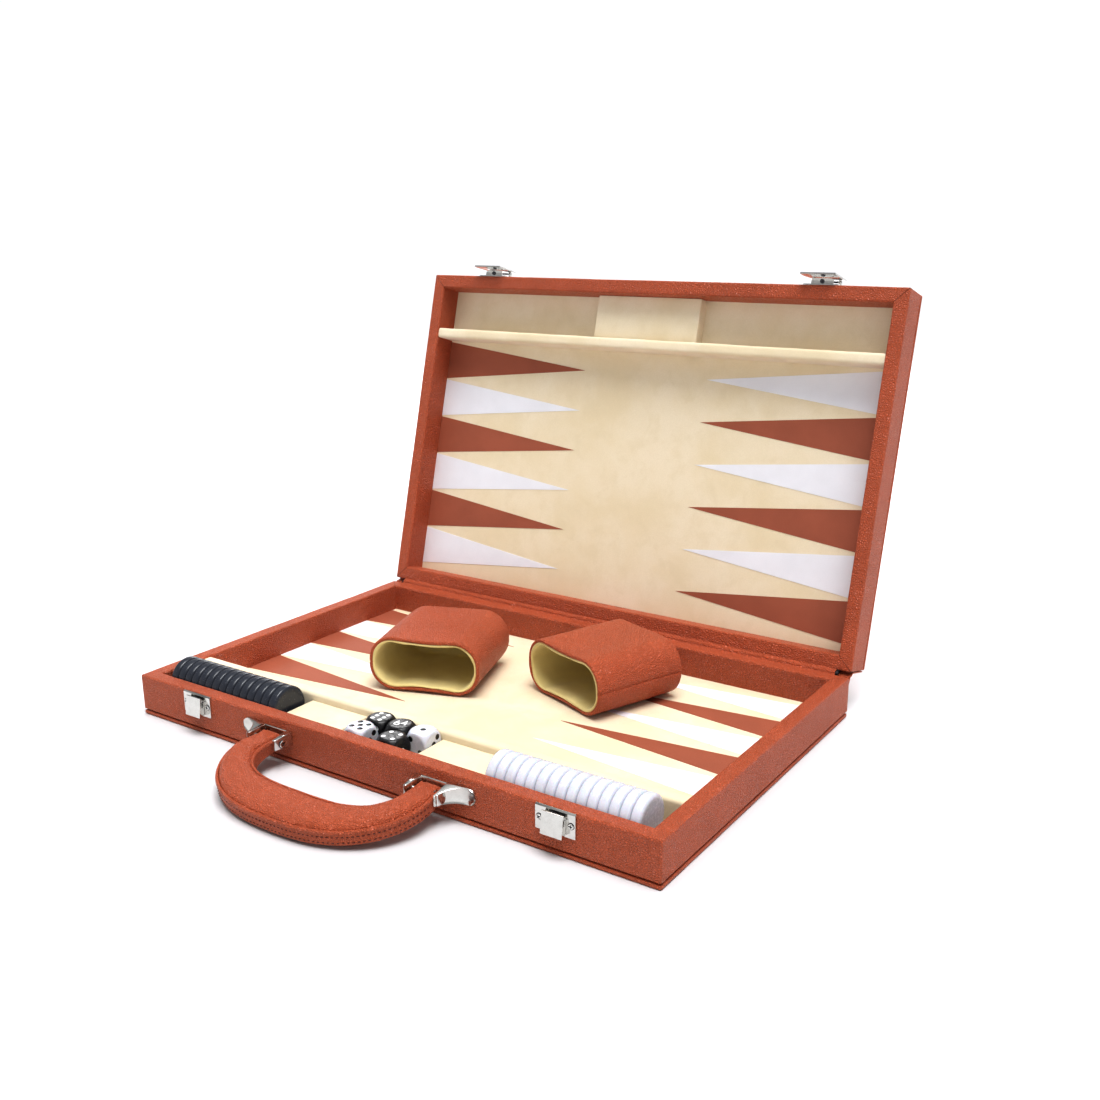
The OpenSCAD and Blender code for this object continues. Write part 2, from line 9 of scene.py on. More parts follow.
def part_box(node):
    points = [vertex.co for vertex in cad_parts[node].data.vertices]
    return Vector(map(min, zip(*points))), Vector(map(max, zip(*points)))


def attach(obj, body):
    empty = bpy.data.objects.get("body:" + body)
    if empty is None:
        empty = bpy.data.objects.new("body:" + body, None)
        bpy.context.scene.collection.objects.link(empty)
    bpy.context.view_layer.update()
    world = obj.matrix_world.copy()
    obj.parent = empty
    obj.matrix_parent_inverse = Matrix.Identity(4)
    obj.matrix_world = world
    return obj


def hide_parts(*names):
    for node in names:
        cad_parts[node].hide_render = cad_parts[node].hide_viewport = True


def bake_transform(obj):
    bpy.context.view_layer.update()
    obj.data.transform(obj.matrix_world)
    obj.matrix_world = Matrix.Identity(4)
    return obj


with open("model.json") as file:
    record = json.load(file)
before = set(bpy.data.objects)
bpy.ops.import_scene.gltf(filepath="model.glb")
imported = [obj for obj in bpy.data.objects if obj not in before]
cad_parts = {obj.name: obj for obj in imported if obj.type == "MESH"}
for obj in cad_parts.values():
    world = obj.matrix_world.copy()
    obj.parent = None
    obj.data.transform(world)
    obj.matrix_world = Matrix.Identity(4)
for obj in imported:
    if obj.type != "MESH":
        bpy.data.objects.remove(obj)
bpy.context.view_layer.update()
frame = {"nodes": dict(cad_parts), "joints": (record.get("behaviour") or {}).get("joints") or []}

MM = 0.001

# ------------------------------------------------------------------ places read from the frame

NODES = frame["nodes"]
JOINTS = {joint["name"]: joint for joint in frame["joints"]}
HINGE = JOINTS["lid_hinge"]
HINGE_AT = Vector(HINGE["pos_m"])
LID_OPEN = -math.radians(HINGE["range_deg"][0])
LID_TURN = (Matrix.Translation(HINGE_AT)
            @ Matrix.Rotation(LID_OPEN, 4, Vector(HINGE["axis"]))
            @ Matrix.Translation(-HINGE_AT))


def span(points):
    """Lowest and highest corner of some points."""
    low = Vector([min(point[axis] for point in points) for axis in range(3)])
    high = Vector([max(point[axis] for point in points) for axis in range(3)])
    return low, high


def closed_box(node):
    """Corners of a lid node with the lid closed."""
    back = LID_TURN.inverted()
    return span([back @ vertex.co for vertex in NODES[node].data.vertices])


CASE_LOW, CASE_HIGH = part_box("base_frame")
FLOOR_LOW, FLOOR_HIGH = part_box("base_field")
CASE_W = CASE_HIGH.x - CASE_LOW.x
CASE_D = CASE_HIGH.y - CASE_LOW.y
WALL = FLOOR_LOW.x - CASE_LOW.x
RIM_Z = CASE_HIGH.z
FIELD_Z = FLOOR_HIGH.z
LID_RIM_Z = closed_box("lid_frame")[0].z
LID_FIELD_Z = closed_box("lid_field")[0].z

# ------------------------------------------------------------------ materials


def fill(node, values):
    """Sets a node's inputs; an underscore stands for a space."""
    for key, value in values.items():
        node.inputs[key.replace("_", " ")].default_value = value


class Shader:
    """A new material with a Principled shader, and short calls for its nodes."""

    def __init__(self, name):
        self.material = bpy.data.materials.new(name)
        self.material.use_nodes = True
        self.tree = self.material.node_tree
        self.tree.nodes.clear()
        self.main = self.node("BsdfPrincipled")
        self.join(self.main.outputs["BSDF"], self.node("OutputMaterial").inputs["Surface"])
        self.place = self.node("TexCoord").outputs["Object"]

    def node(self, kind, **values):
        node = self.tree.nodes.new("ShaderNode" + kind)
        fill(node, values)
        return node

    def join(self, source, target):
        self.tree.links.new(source, target)

    def put(self, **values):
        fill(self.main, values)

    def drive(self, socket, source):
        self.join(source, self.main.inputs[socket])

    def noise(self, scale, detail=3.0, rough=0.55, place=None):
        node = self.node("TexNoise", Scale=scale, Detail=detail, Roughness=rough)
        self.join(place or self.place, node.inputs["Vector"])
        return node.outputs["Fac"]

    def shifted(self, scale, amount):
        """Coordinates pushed about by a noise, so that cells and lines look grown."""
        node = self.node("TexNoise", Scale=scale)
        self.join(self.place, node.inputs["Vector"])
        centred = self.vector("SUBTRACT", node.outputs["Color"])
        centred.node.inputs[1].default_value = (0.5, 0.5, 0.5)
        scaled = self.vector("SCALE", centred)
        scaled.node.inputs["Scale"].default_value = amount
        moved = self.vector("ADD", self.place)
        self.join(scaled, moved.node.inputs[1])
        return moved

    def vector(self, operation, first):
        node = self.node("VectorMath")
        node.operation = operation
        self.join(first, node.inputs[0])
        return node.outputs["Vector"]

    def cells(self, scale, place):
        """Distance to the nearest edge between the cells."""
        node = self.node("TexVoronoi", Scale=scale)
        node.feature = "DISTANCE_TO_EDGE"
        self.join(place, node.inputs["Vector"])
        return node.outputs["Distance"]

    def ramp(self, source, low, high, to_low=0.0, to_high=1.0):
        node = self.node("MapRange", From_Min=low, From_Max=high, To_Min=to_low, To_Max=to_high)
        node.interpolation_type = "SMOOTHSTEP"
        self.join(source, node.inputs["Value"])
        return node.outputs["Result"]

    def mix(self, factor, first, second):
        """Colour between two colours or colour outputs."""
        node = self.node("Mix")
        node.data_type = "RGBA"
        self.join(factor, node.inputs["Factor"])
        for socket, value in ((node.inputs["A"], first), (node.inputs["B"], second)):
            if isinstance(value, tuple):
                socket.default_value = (*value, 1.0)
            else:
                self.join(value, socket)
        return node.outputs["Result"]

    def bump(self, height, distance, strength=1.0, under=None):
        node = self.node("Bump", Strength=strength, Distance=distance)
        self.join(height, node.inputs["Height"])
        if under is not None:
            self.join(under, node.inputs["Normal"])
        return node.outputs["Normal"]


def shade(colour, factor):
    return tuple(channel * factor for channel in colour)


def pebble_leather(name, colour, grain=740.0, depth=0.62 * MM, rough=0.33):
    """Leathercloth with an embossed pebble grain: raised cells, with painted shade darkening the creases
    between them.
    """
    s = Shader(name)
    place = s.shifted(300.0, 0.0013)
    edge = s.cells(grain, place)
    pebble = s.ramp(edge, 0.0, 0.38)
    fine = s.noise(5200.0, 2.0)
    broad = s.noise(26.0, 3.0)
    blot = s.noise(150.0, 2.0)
    tone = s.mix(s.ramp(broad, 0.3, 0.7), shade(colour, 0.94), shade(colour, 1.05))
    tone = s.mix(s.ramp(blot, 0.35, 0.75, 0.0, 0.3), tone, shade(colour, 0.86))
    # painted shade: the colour darkens towards half its value in the creases along the cell edges
    tone = s.mix(s.ramp(edge, 0.0, 0.16, 0.6, 0.0), tone, shade(colour, 0.5))
    s.drive("Base Color", tone)
    s.drive("Roughness", s.ramp(pebble, 0.0, 1.0, rough + 0.16, rough - 0.06))
    under = s.bump(fine, 0.015 * MM, 0.6)
    s.drive("Normal", s.bump(pebble, depth, 1.0, under))
    s.put(Specular_IOR_Level=0.45)
    return s.material


def fine_leather(name, colour, grain=1900.0, depth=0.035 * MM, rough=0.5, contrast=0.12):
    """Thin smooth skiver for the points: a fine crackle, with painted shade darkening its lines, and
    faint streaks.
    """
    s = Shader(name)
    place = s.shifted(700.0, 0.0008)
    edge = s.cells(grain, place)
    crackle = s.ramp(edge, 0.0, 0.22)
    broad = s.noise(34.0, 3.0)
    tone = s.mix(s.ramp(broad, 0.3, 0.7), shade(colour, 1.0 - contrast / 2), colour)
    # painted shade: the colour darkens along the sunken crackle lines
    tone = s.mix(s.ramp(edge, 0.0, 0.15, contrast, 0.0), tone, shade(colour, 0.7))
    s.drive("Base Color", tone)
    s.drive("Roughness", s.ramp(crackle, 0.0, 1.0, rough + 0.1, rough))
    s.drive("Normal", s.bump(crackle, depth, 0.8))
    s.put(Specular_IOR_Level=0.35)
    return s.material


def suede(name, colour, deep, rough=0.92):
    """Brushed suede: a short nap, its colour clouded by painted sheen where the nap leans differently.
    """
    s = Shader(name)
    place = s.shifted(30.0, 0.02)
    cloud = s.noise(16.0, 4.0, 0.6, place)
    smear = s.noise(70.0, 3.0, 0.6, place)
    nap = s.noise(3800.0, 2.0, 0.7)
    fleck = s.noise(1300.0, 2.0, 0.6)
    # painted sheen: soft clouds and smears between the colour and the deep colour
    tone = s.mix(s.ramp(cloud, 0.32, 0.68), colour, deep)
    tone = s.mix(s.ramp(smear, 0.45, 0.75, 0.0, 0.5), tone, shade(deep, 0.96))
    tone = s.mix(s.ramp(fleck, 0.3, 0.7, 0.0, 0.16), tone, shade(deep, 0.8))
    s.drive("Base Color", tone)
    under = s.bump(nap, 0.05 * MM, 0.7)
    s.drive("Normal", s.bump(fleck, 0.05 * MM, 0.5, under))
    s.put(Roughness=rough, Specular_IOR_Level=0.2, Sheen_Weight=0.25, Sheen_Roughness=0.5)
    return s.material


def polished_metal(name, colour, rough=0.12):
    """Plated metal, polished, with a faint brushed haze and handling marks."""
    s = Shader(name)
    haze = s.noise(900.0, 3.0, 0.6)
    mark = s.noise(240.0, 4.0, 0.7)
    s.drive("Base Color", s.mix(s.ramp(mark, 0.35, 0.75), colour, shade(colour, 0.88)))
    s.drive("Roughness", s.ramp(haze, 0.3, 0.8, rough * 0.75, rough * 1.9))
    s.drive("Normal", s.bump(mark, 0.004 * MM, 0.12))
    s.put(Metallic=1.0)
    return s.material


def resin(name, colour, rough=0.16, soft=0.0):
    """Moulded and tumbled resin: glossy with a slight orange peel."""
    s = Shader(name)
    swirl = s.noise(90.0, 3.0, 0.6, s.shifted(50.0, 0.012))
    peel = s.noise(620.0, 2.0, 0.5)
    s.drive("Base Color", s.mix(s.ramp(swirl, 0.3, 0.75), colour, shade(colour, 0.9)))
    s.drive("Roughness", s.ramp(peel, 0.3, 0.7, rough * 0.8, rough * 1.4))
    s.drive("Normal", s.bump(peel, 0.02 * MM, 0.18))
    s.put(Specular_IOR_Level=0.5, Subsurface_Weight=soft, Subsurface_Scale=0.002)
    return s.material


def thread(name, colour):
    s = Shader(name)
    twist = s.noise(4200.0, 2.0)
    s.drive("Base Color", s.mix(s.ramp(twist, 0.35, 0.65), colour, shade(colour, 0.6)))
    s.drive("Normal", s.bump(twist, 0.05 * MM, 0.8))
    s.put(Roughness=0.7)
    return s.material


TAN = (0.56, 0.128, 0.052)
MATERIALS = {
    "leather": pebble_leather("leather_tan", TAN),
    "handle": pebble_leather("leather_handle", TAN, grain=800.0, depth=0.6 * MM),
    "suede": suede("suede_cream", (0.82, 0.735, 0.575), (0.765, 0.665, 0.475)),
    "lining": suede("suede_lining", (0.80, 0.69, 0.36), (0.70, 0.58, 0.27)),
    "point_brown": fine_leather("skiver_brown", (0.39, 0.122, 0.069), contrast=0.22),
    "point_white": fine_leather("skiver_white", (0.83, 0.84, 0.885), contrast=0.10),
    "nickel": polished_metal("nickel_polished", (0.73, 0.72, 0.69), 0.11),
    # blackened steel for pins, hooks and leaves; also painted shade on the screw heads
    "dark_steel": polished_metal("steel_blackened_and_shade", (0.10, 0.10, 0.11), 0.3),
    "steel": polished_metal("steel_plated", (0.45, 0.43, 0.41), 0.25),
    "white_resin": resin("resin_white", (0.66, 0.68, 0.75), 0.22, 0.15),
    "black_resin": resin("resin_black", (0.034, 0.039, 0.052), 0.2),
    "black_die": resin("resin_black_die", (0.007, 0.007, 0.009), 0.3),
    "pip_white": resin("pip_white", (0.85, 0.85, 0.86), 0.3),
    "pip_black": resin("pip_black", (0.012, 0.012, 0.014), 0.3),
    "thread": thread("thread_rust", (0.10, 0.016, 0.010)),
    # painted shadow: a dark colour for the faces of the sunk corner seams
    "seam": thread("seam_shadow", (0.11, 0.022, 0.011)),
}

# ------------------------------------------------------------------ mesh helpers


def add_object(name, data):
    piece = bpy.data.objects.new(name, data)
    bpy.context.scene.collection.objects.link(piece)
    return piece


def add_piece(name, bm, material, body, replaced=(), smooth_angle=40.0, turn=None):
    """Turns a bmesh into a piece that rides on a body, moved by the turn first."""
    if turn:
        bm.transform(turn)
    mesh = bpy.data.meshes.new(name)
    bm.to_mesh(mesh)
    bm.free()
    piece = add_object(name, mesh)
    for entry in (material if isinstance(material, list) else [material]):
        mesh.materials.append(MATERIALS[entry])
    smooth_by_angle(mesh, smooth_angle)
    if body:
        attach(piece, body)
    if replaced:
        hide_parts(*replaced)
    return piece


def smooth_by_angle(mesh, angle):
    """Smooth shading with sharp edges where faces meet at more than the angle."""
    limit = math.radians(angle)
    bm = bmesh.new()
    bm.from_mesh(mesh)
    for face in bm.faces:
        face.smooth = True
    for edge in bm.edges:
        edge.smooth = len(edge.link_faces) != 2 or edge.calc_face_angle(0.0) < limit
    bm.to_mesh(mesh)
    bm.free()


def add_loops(bm, loops, closed_path=False):
    """Quads between successive loops of points. Returns the rows of vertices."""
    rows = [[bm.verts.new(point) for point in loop] for loop in loops]
    pairs = list(zip(rows, rows[1:]))
    if closed_path:
        pairs.append((rows[-1], rows[0]))
    for first, second in pairs:
        count = len(first)
        for i in range(count):
            j = (i + 1) % count
            bm.faces.new((first[i], first[j], second[j], second[i]))
    return rows


def add_solid(bm, loops):
    """Loops with both ends closed."""
    rows = add_loops(bm, loops)
    bm.faces.new(rows[0])
    bm.faces.new(rows[-1])
    return rows


def roughen(bm, amount, size, seed=0.0, keep=None):
    """Moves vertices along their normals by a smooth noise, for surfaces laid by hand."""
    bm.normal_update()
    offset = Vector((seed, seed * 1.7, seed * 0.6))
    for vertex in bm.verts:
        if keep is None or keep(vertex.co):
            height = noise.noise(vertex.co / size + offset)
            vertex.co += vertex.normal * (height * amount)


def arc(centre, radius, start, end, steps):
    """Points on an arc in degrees, both ends included."""
    points = []
    for i in range(steps + 1):
        turn = math.radians(start + (end - start) * i / steps)
        points.append((centre[0] + radius * math.cos(turn), centre[1] + radius * math.sin(turn)))
    return points


def between(first, second, steps):
    """Values from first towards second, without the last one."""
    return [first + (second - first) * i / steps for i in range(steps)]


def quarter(steps):
    """Angles from 0 to 90 degrees, both ends included."""
    return [math.radians(90 / steps * k) for k in range(steps + 1)]


def round_from(z, up, radius, steps):
    """A quarter round of an outline, (distance in, z), that leaves the face at height z."""
    return [(radius - radius * math.sin(a), z + up * (radius - radius * math.cos(a)))
            for a in quarter(steps)]


def round_to(z, up, radius, steps):
    """A quarter round of an outline that arrives at the face at height z."""
    return [(radius - radius * math.cos(a), z - up * (radius - radius * math.sin(a)))
            for a in quarter(steps)]


def recalc(bm):
    bmesh.ops.recalc_face_normals(bm, faces=bm.faces[:])


# ------------------------------------------------------------------ case halves

CORNER_R = 1.1 * MM
EDGE_R = 1.25 * MM
FOOT_R = 0.7 * MM
GROOVE_H = 1.0 * MM
GROOVE_IN = 1.6 * MM
PANEL_R = 0.9 * MM
STEP = 4.5 * MM  # between the points along a wall
SEAM_SINK = 0.14 * MM


def rounded_rectangle(low, high, radius, counts, arc_steps, z):
    """Points round a rectangle; counts divide its sides along y and along x."""
    x0, y0, x1, y1 = low[0] + radius, low[1] + radius, high[0] - radius, high[1] - radius
    corners = [((x1, y0), -90), ((x1, y1), 0), ((x0, y1), 90), ((x0, y0), 180)]
    arcs = [arc(centre, radius, start, start + 90, arc_steps) for centre, start in corners]
    points = []
    for side in range(4):
        points += arcs[side]
        first, second = Vector(points[-1]), Vector(arcs[(side + 1) % 4][0])
        count = counts[side % 2]
        points += [tuple(first.lerp(second, k / count)) for k in range(1, count)]
    return [Vector((x, y, z)) for x, y in points]


COUNTS = [round(CASE_D / STEP), round(CASE_W / STEP)]
CORNER_STEPS = 4


def case_loop(inset, z, least_radius):
    """A loop round the case, this far in from its outside."""
    low = (CASE_LOW.x + inset, CASE_LOW.y + inset)
    high = (CASE_HIGH.x - inset, CASE_HIGH.y - inset)
    radius = max(CORNER_R - inset, least_radius)
    return rounded_rectangle(low, high, radius, COUNTS, CORNER_STEPS, z)


def wall_profile(board_z, rim_z, floor_z):
    """Outline of a wall as (distance in from the outside, z), from the board round to the floor."""
    up = 1.0 if rim_z > board_z else -1.0
    joint = board_z + up * GROOVE_H
    outline = [(GROOVE_IN, board_z), (GROOVE_IN, joint)]
    outline += round_from(joint, up, FOOT_R, 6)
    outline += [(0.0, z) for z in between(joint + up * FOOT_R * 1.4, rim_z - up * EDGE_R, 7)]
    outline += round_to(rim_z, up, EDGE_R, 5)
    outline += [(x, rim_z) for x in between(EDGE_R * 1.6, WALL - EDGE_R, 4)]
    outline += [(WALL - EDGE_R + EDGE_R * math.sin(a), rim_z - up * (EDGE_R - EDGE_R * math.cos(a)))
                for a in quarter(5)]
    outline += [(WALL, z) for z in between(rim_z - up * EDGE_R * 1.6, floor_z, 5)]
    outline.append((WALL, floor_z - up * 0.4 * MM))
    return outline


def corner_columns():
    """Where a rectangle loop passes the middle of its four corners, in its own order."""
    columns = []
    at = 0
    for side in range(4):
        columns.append(at + CORNER_STEPS // 2)
        at += CORNER_STEPS + COUNTS[side % 2]
    return columns


def sink_seams(rows, rim_z, up, corners):
    """The fine diagonal seams where the leather meets on the rim's corners: sunk a little, their faces
    given a painted shadow colour.
    """
    for column in [corner_columns()[k] for k in corners]:
        on_rim = [row[column] for row in rows if abs(row[column].co.z - rim_z) < EDGE_R * 1.02]
        for vertex in on_rim:
            vertex.co.z -= up * SEAM_SINK
            for face in vertex.link_faces:
                # painted shadow on the seam's faces
                face.material_index = 1


def case_walls(name, board_z, rim_z, floor_z, body, node, corners, turn=None):
    """The leather-covered walls of one half, with rounded rims and the groove at the board."""
    bm = bmesh.new()
    loops = [case_loop(inset, z, 0.34 * MM) for inset, z in wall_profile(board_z, rim_z, floor_z)]
    rows = add_loops(bm, loops, closed_path=True)
    sink_seams(rows, rim_z, 1.0 if rim_z > board_z else -1.0, corners)
    recalc(bm)
    roughen(bm, 0.16 * MM, 38 * MM, seed=board_z * 90)
    roughen(bm, 0.07 * MM, 9 * MM, seed=board_z * 50 + 3)
    # the second material paints shadow into the corner seams
    return add_piece(name, bm, ["leather", "seam"], body, [node], turn=turn)


def case_board(name, inner_z, outer_z, body, node, turn=None):
    """The leather-covered board under or over one half."""
    bm = bmesh.new()
    sign = 1.0 if outer_z > inner_z else -1.0
    outline = [(PANEL_R * 1.4, inner_z)]
    outline += round_from(inner_z, sign, PANEL_R, 4) + round_to(outer_z, sign, PANEL_R, 4)
    outline += [(PANEL_R + step, outer_z) for step in (2 * MM, 9 * MM, 24 * MM, 50 * MM, 90 * MM)]
    add_solid(bm, [case_loop(inset, z, 0.1 * MM) for inset, z in outline])
    recalc(bm)
    roughen(bm, 0.08 * MM, 30 * MM, seed=min(inner_z, outer_z) * 70,
            keep=lambda co: abs(co.z - outer_z) > 0.2 * MM)
    return add_piece(name, bm, "leather", body, [node], turn=turn)


def build_case():
    """Corners are numbered from the front right round to the front left."""
    panel_low, panel_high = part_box("base_panel")
    case_walls("walls_base", panel_high.z, RIM_Z, FIELD_Z, "base", "base_frame", (1, 2))
    case_board("board_base", panel_high.z, panel_low.z, "base", "base_panel")
    top_low, top_high = closed_box("lid_panel")
    case_walls("walls_lid", top_low.z, LID_RIM_Z, LID_FIELD_Z, "lid", "lid_frame",
               (0, 1, 2, 3), LID_TURN)
    case_board("board_lid", top_low.z, top_high.z, "lid", "lid_panel", LID_TURN)


# ------------------------------------------------------------------ suede rails and blocks


BOW = 0.25 * MM
BOW_REACH = 6 * MM
SUEDE_STEP = 3 * MM


def soft_box(name, low, high, radius, body, node, turn=None, flip=False):
    """A suede-covered block: a box with soft edges and a slightly padded face.

    The face that shows is the upper one, or the lower one when flip is set."""
    bm = bmesh.new()
    top, bottom, up = (low.z, high.z, -1.0) if flip else (high.z, low.z, 1.0)
    outline = [(0.0, bottom), (0.0, top - up * radius)]
    outline += round_to(top, up, radius, 6)[1:]
    half = min(high.x - low.x, high.y - low.y) / 2
    outline += [(radius + (half - radius) * t, top) for t in (0.15, 0.4, 0.7, 0.97)]
    add_solid(bm, [small_rectangle(low, high, inset, radius, z) for inset, z in outline])
    recalc(bm)
    for vertex in bm.verts:
        depth = min(vertex.co.x - low.x, high.x - vertex.co.x,
                    vertex.co.y - low.y, high.y - vertex.co.y)
        if abs(vertex.co.z - top) < 0.1 * MM:
            vertex.co.z -= up * BOW * (1.0 - min(1.0, depth / BOW_REACH)) ** 2
    roughen(bm, 0.12 * MM, 11 * MM, seed=low.x * 40)
    return add_piece(name, bm, "suede", body, [node], turn=turn)


def small_rectangle(low, high, inset, radius, z):
    """Points round a block, about 3 mm apart, with corners of the given radius."""
    corner = max(radius * 0.7 - inset, 0.05 * MM)
    counts = [max(3, round(side / SUEDE_STEP)) for side in (high.y - low.y, high.x - low.x)]
    return rounded_rectangle((low.x + inset, low.y + inset), (high.x - inset, high.y - inset),
                             corner, counts, 3, z)


def suede_rail(name, low, high, round_r, body, node, turn=None, flip=False):
    """A long rail with a rounded top, covered in suede that wanders a little."""
    bm = bmesh.new()
    top, bottom, up = (low.z, high.z, -1.0) if flip else (high.z, low.z, 1.0)
    width = high.y - low.y
    section = [(0.0, bottom)] + [(0.0, z) for z in between(bottom + up * 3 * MM, top - up * round_r, 3)]
    section += round_to(top, up, round_r, 6)
    section += [(width / 2, top + up * 0.05 * MM)]
    section += [(width - y, z) for y, z in reversed(section[:-1])]
    count = round((high.x - low.x) / SUEDE_STEP)
    loops = []
    for i in range(count + 1):
        x = low.x + (high.x - low.x) * i / count
        loops.append([Vector((x, low.y + y, z)) for y, z in section])
    add_solid(bm, loops)
    recalc(bm)
    roughen(bm, 0.22 * MM, 14 * MM, seed=low.y * 30)
    roughen(bm, 0.08 * MM, 4 * MM, seed=low.y * 60)
    return add_piece(name, bm, "suede", body, [node], turn=turn)


def build_suede():
    rail_low, rail_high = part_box("base_rail")
    suede_rail("rail_base", rail_low, rail_high, 2.2 * MM, "base", "base_rail")
    for node in ("tray_block_left", "tray_block_right", "dice_tray"):
        low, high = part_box(node)
        soft_box("suede_" + node, low, high, 0.9 * MM, "base", node)
    low, high = closed_box("lid_rail")
    suede_rail("rail_lid", low, high, 2.0 * MM, "lid", "lid_rail", LID_TURN, flip=True)
    low, high = closed_box("lid_block")
    soft_box("suede_lid_block", low, high, 1.0 * MM, "lid", "lid_block", LID_TURN, flip=True)


# ------------------------------------------------------------------ carried-over flat pieces


def dress(node, material):
    """Gives a carried-over CAD node one of the materials."""
    mesh = NODES[node].data
    if not mesh.materials:
        mesh.materials.append(MATERIALS[material])
    for index in range(len(mesh.materials)):
        mesh.materials[index] = MATERIALS[material]


def build_flats():
    for half in ("base", "lid"):
        dress(half + "_field", "suede")
        for colour in ("brown", "white"):
            dress("%s_points_%s" % (half, colour), "point_" + colour)


# ------------------------------------------------------------------ metalwork


WELD = 0.004 * MM
SHARP = math.radians(28.0)


def bevelled(node, material, body, width):
    """The CAD piece's form with its edges broken, as stamped and tumbled metal has."""
    bm = bmesh.new()
    bm.from_mesh(NODES[node].data)
    bmesh.ops.remove_doubles(bm, verts=bm.verts[:], dist=WELD)
    bmesh.ops.dissolve_limit(bm, angle_limit=math.radians(1.0), verts=bm.verts[:],
                             edges=bm.edges[:])
    recalc(bm)
    sharp = [edge for edge in bm.edges
             if len(edge.link_faces) == 2 and edge.calc_face_angle(0.0) > SHARP]
    bmesh.ops.bevel(bm, geom=sharp, offset=width, offset_type="OFFSET", segments=3,
                    profile=0.6, affect="EDGES", clamp_overlap=True, miter_outer="ARC")
    return add_piece("metal_" + node, bm, material, body, [node], 35.0)


BRACKET_Z = (12.5 * MM, 21.0 * MM)
CHEEK_FRONT_Z = (13.2 * MM, 19.8 * MM)
CHEEK_WALL_X = (8.6 * MM, 13.0 * MM)
CHEEK_FRONT_X = (9.6 * MM, 11.7 * MM)
CHEEK_REACH = 13.0 * MM
WING_REACH = 14.0 * MM
WING_END = 27.5 * MM
WING_T = 1.3 * MM
WING_R = 5.0 * MM
WING_WALL_Z = (11.8 * MM, 21.8 * MM)
WING_END_Z = 16.8 * MM
PLATE_HALF = 12.6 * MM


def rounded_bar(bm, near, far, radius):
    """A bar between two upright rectangles (x0, x1, z0, z1, y), with rounded edges."""
    def loop(rect, y, inset):
        x0, x1, z0, z1 = rect
        r = radius
        points = []
        for centre, start in (((x1 - r, z0 + r), -90), ((x1 - r, z1 - r), 0),
                              ((x0 + r, z1 - r), 90), ((x0 + r, z0 + r), 180)):
            points += arc(centre, r - inset, start, start + 90, 4)
        return [Vector((x, y, z)) for x, z in points]
    (rect0, y0), (rect1, y1) = near, far
    sign = 1.0 if y1 > y0 else -1.0
    loops = [loop(rect0, y0, radius * 0.9), loop(rect0, y0 + sign * radius * 0.3, radius * 0.3),
             loop(rect0, y0 + sign * radius, 0.0), loop(rect1, y1 - sign * radius, 0.0),
             loop(rect1, y1 - sign * radius * 0.3, radius * 0.3), loop(rect1, y1, radius * 0.9)]
    add_solid(bm, loops)


def wing_path():
    """Plan of the wing's outer face: from the cheek's front in a hollow curve to the wall."""
    start = Vector((CHEEK_FRONT_X[0] + 0.9 * MM, -WING_REACH))
    bend = Vector((13.6 * MM, -1.5 * MM))
    end = Vector((23.2 * MM, -WING_T))
    points = []
    for k in range(15):
        t = k / 14
        points.append(start * (1 - t) ** 2 + bend * 2 * t * (1 - t) + end * t * t)
    return points + [Vector((x * MM, -WING_T)) for x in (24.2, 25.2, 26.0, 26.7, 27.2, 27.45)]


def wing_heights(point):
    """Lower and upper edge of the wing: taller towards the wall, then a round end."""
    share = min(1.0, (point.y + WING_REACH) / (WING_REACH - WING_T))
    low, high = [front + (wall - front) * share
                 for front, wall in zip(CHEEK_FRONT_Z, WING_WALL_Z)]
    past = point.x - (WING_END - WING_R)
    if past > 0:
        half = max(math.sqrt(max(0.0, WING_R ** 2 - past ** 2)), 0.3 * MM)
        low, high = WING_END_Z - half, WING_END_Z + half
    return low, high


def wing_back(point):
    """Where the casting behind the wing's face ends: at the cheek's inner side, or at the wall."""
    if point.y > -WING_T * 1.3:
        return Vector((point.x, 0.0))
    share = min(1.0, -point.y / CHEEK_REACH)
    return Vector((CHEEK_WALL_X[0] + (CHEEK_FRONT_X[0] - CHEEK_WALL_X[0]) * share + 0.3 * MM, point.y))


def build_wing(bm):
    """The spoon-shaped wing: a cast sheet, hollow on its face and round on its edges."""
    path = wing_path()
    loops = []
    for k, point in enumerate(path):
        before, after = path[max(k - 1, 0)], path[min(k + 1, len(path) - 1)]
        tangent = (after - before).normalized()
        out = Vector((tangent.y, -tangent.x))
        low, high = wing_heights(point)
        hollow = min(0.9 * MM, 0.12 * (high - low))
        loop = []
        for j in range(13):
            u = -1 + j / 6
            z = (low + high) / 2 + u * ((high - low) / 2 - 0.35 * MM)
            depth = hollow * (1 - u * u) ** 0.8
            loop.append(Vector((point.x - out.x * depth, point.y - out.y * depth, z)))
        loop.append(Vector((point.x - out.x * 0.5 * MM, point.y - out.y * 0.5 * MM, high)))
        back = wing_back(point)
        for j in range(5):
            z = high - (high - low) * j / 4
            z = min(max(z, low + 0.2 * MM), high - 0.02 * MM)
            loop.append(Vector((back.x, back.y, z)))
        loop.append(Vector((point.x - out.x * 0.5 * MM, point.y - out.y * 0.5 * MM, low)))
        loops.append(loop)
    add_solid(bm, loops)


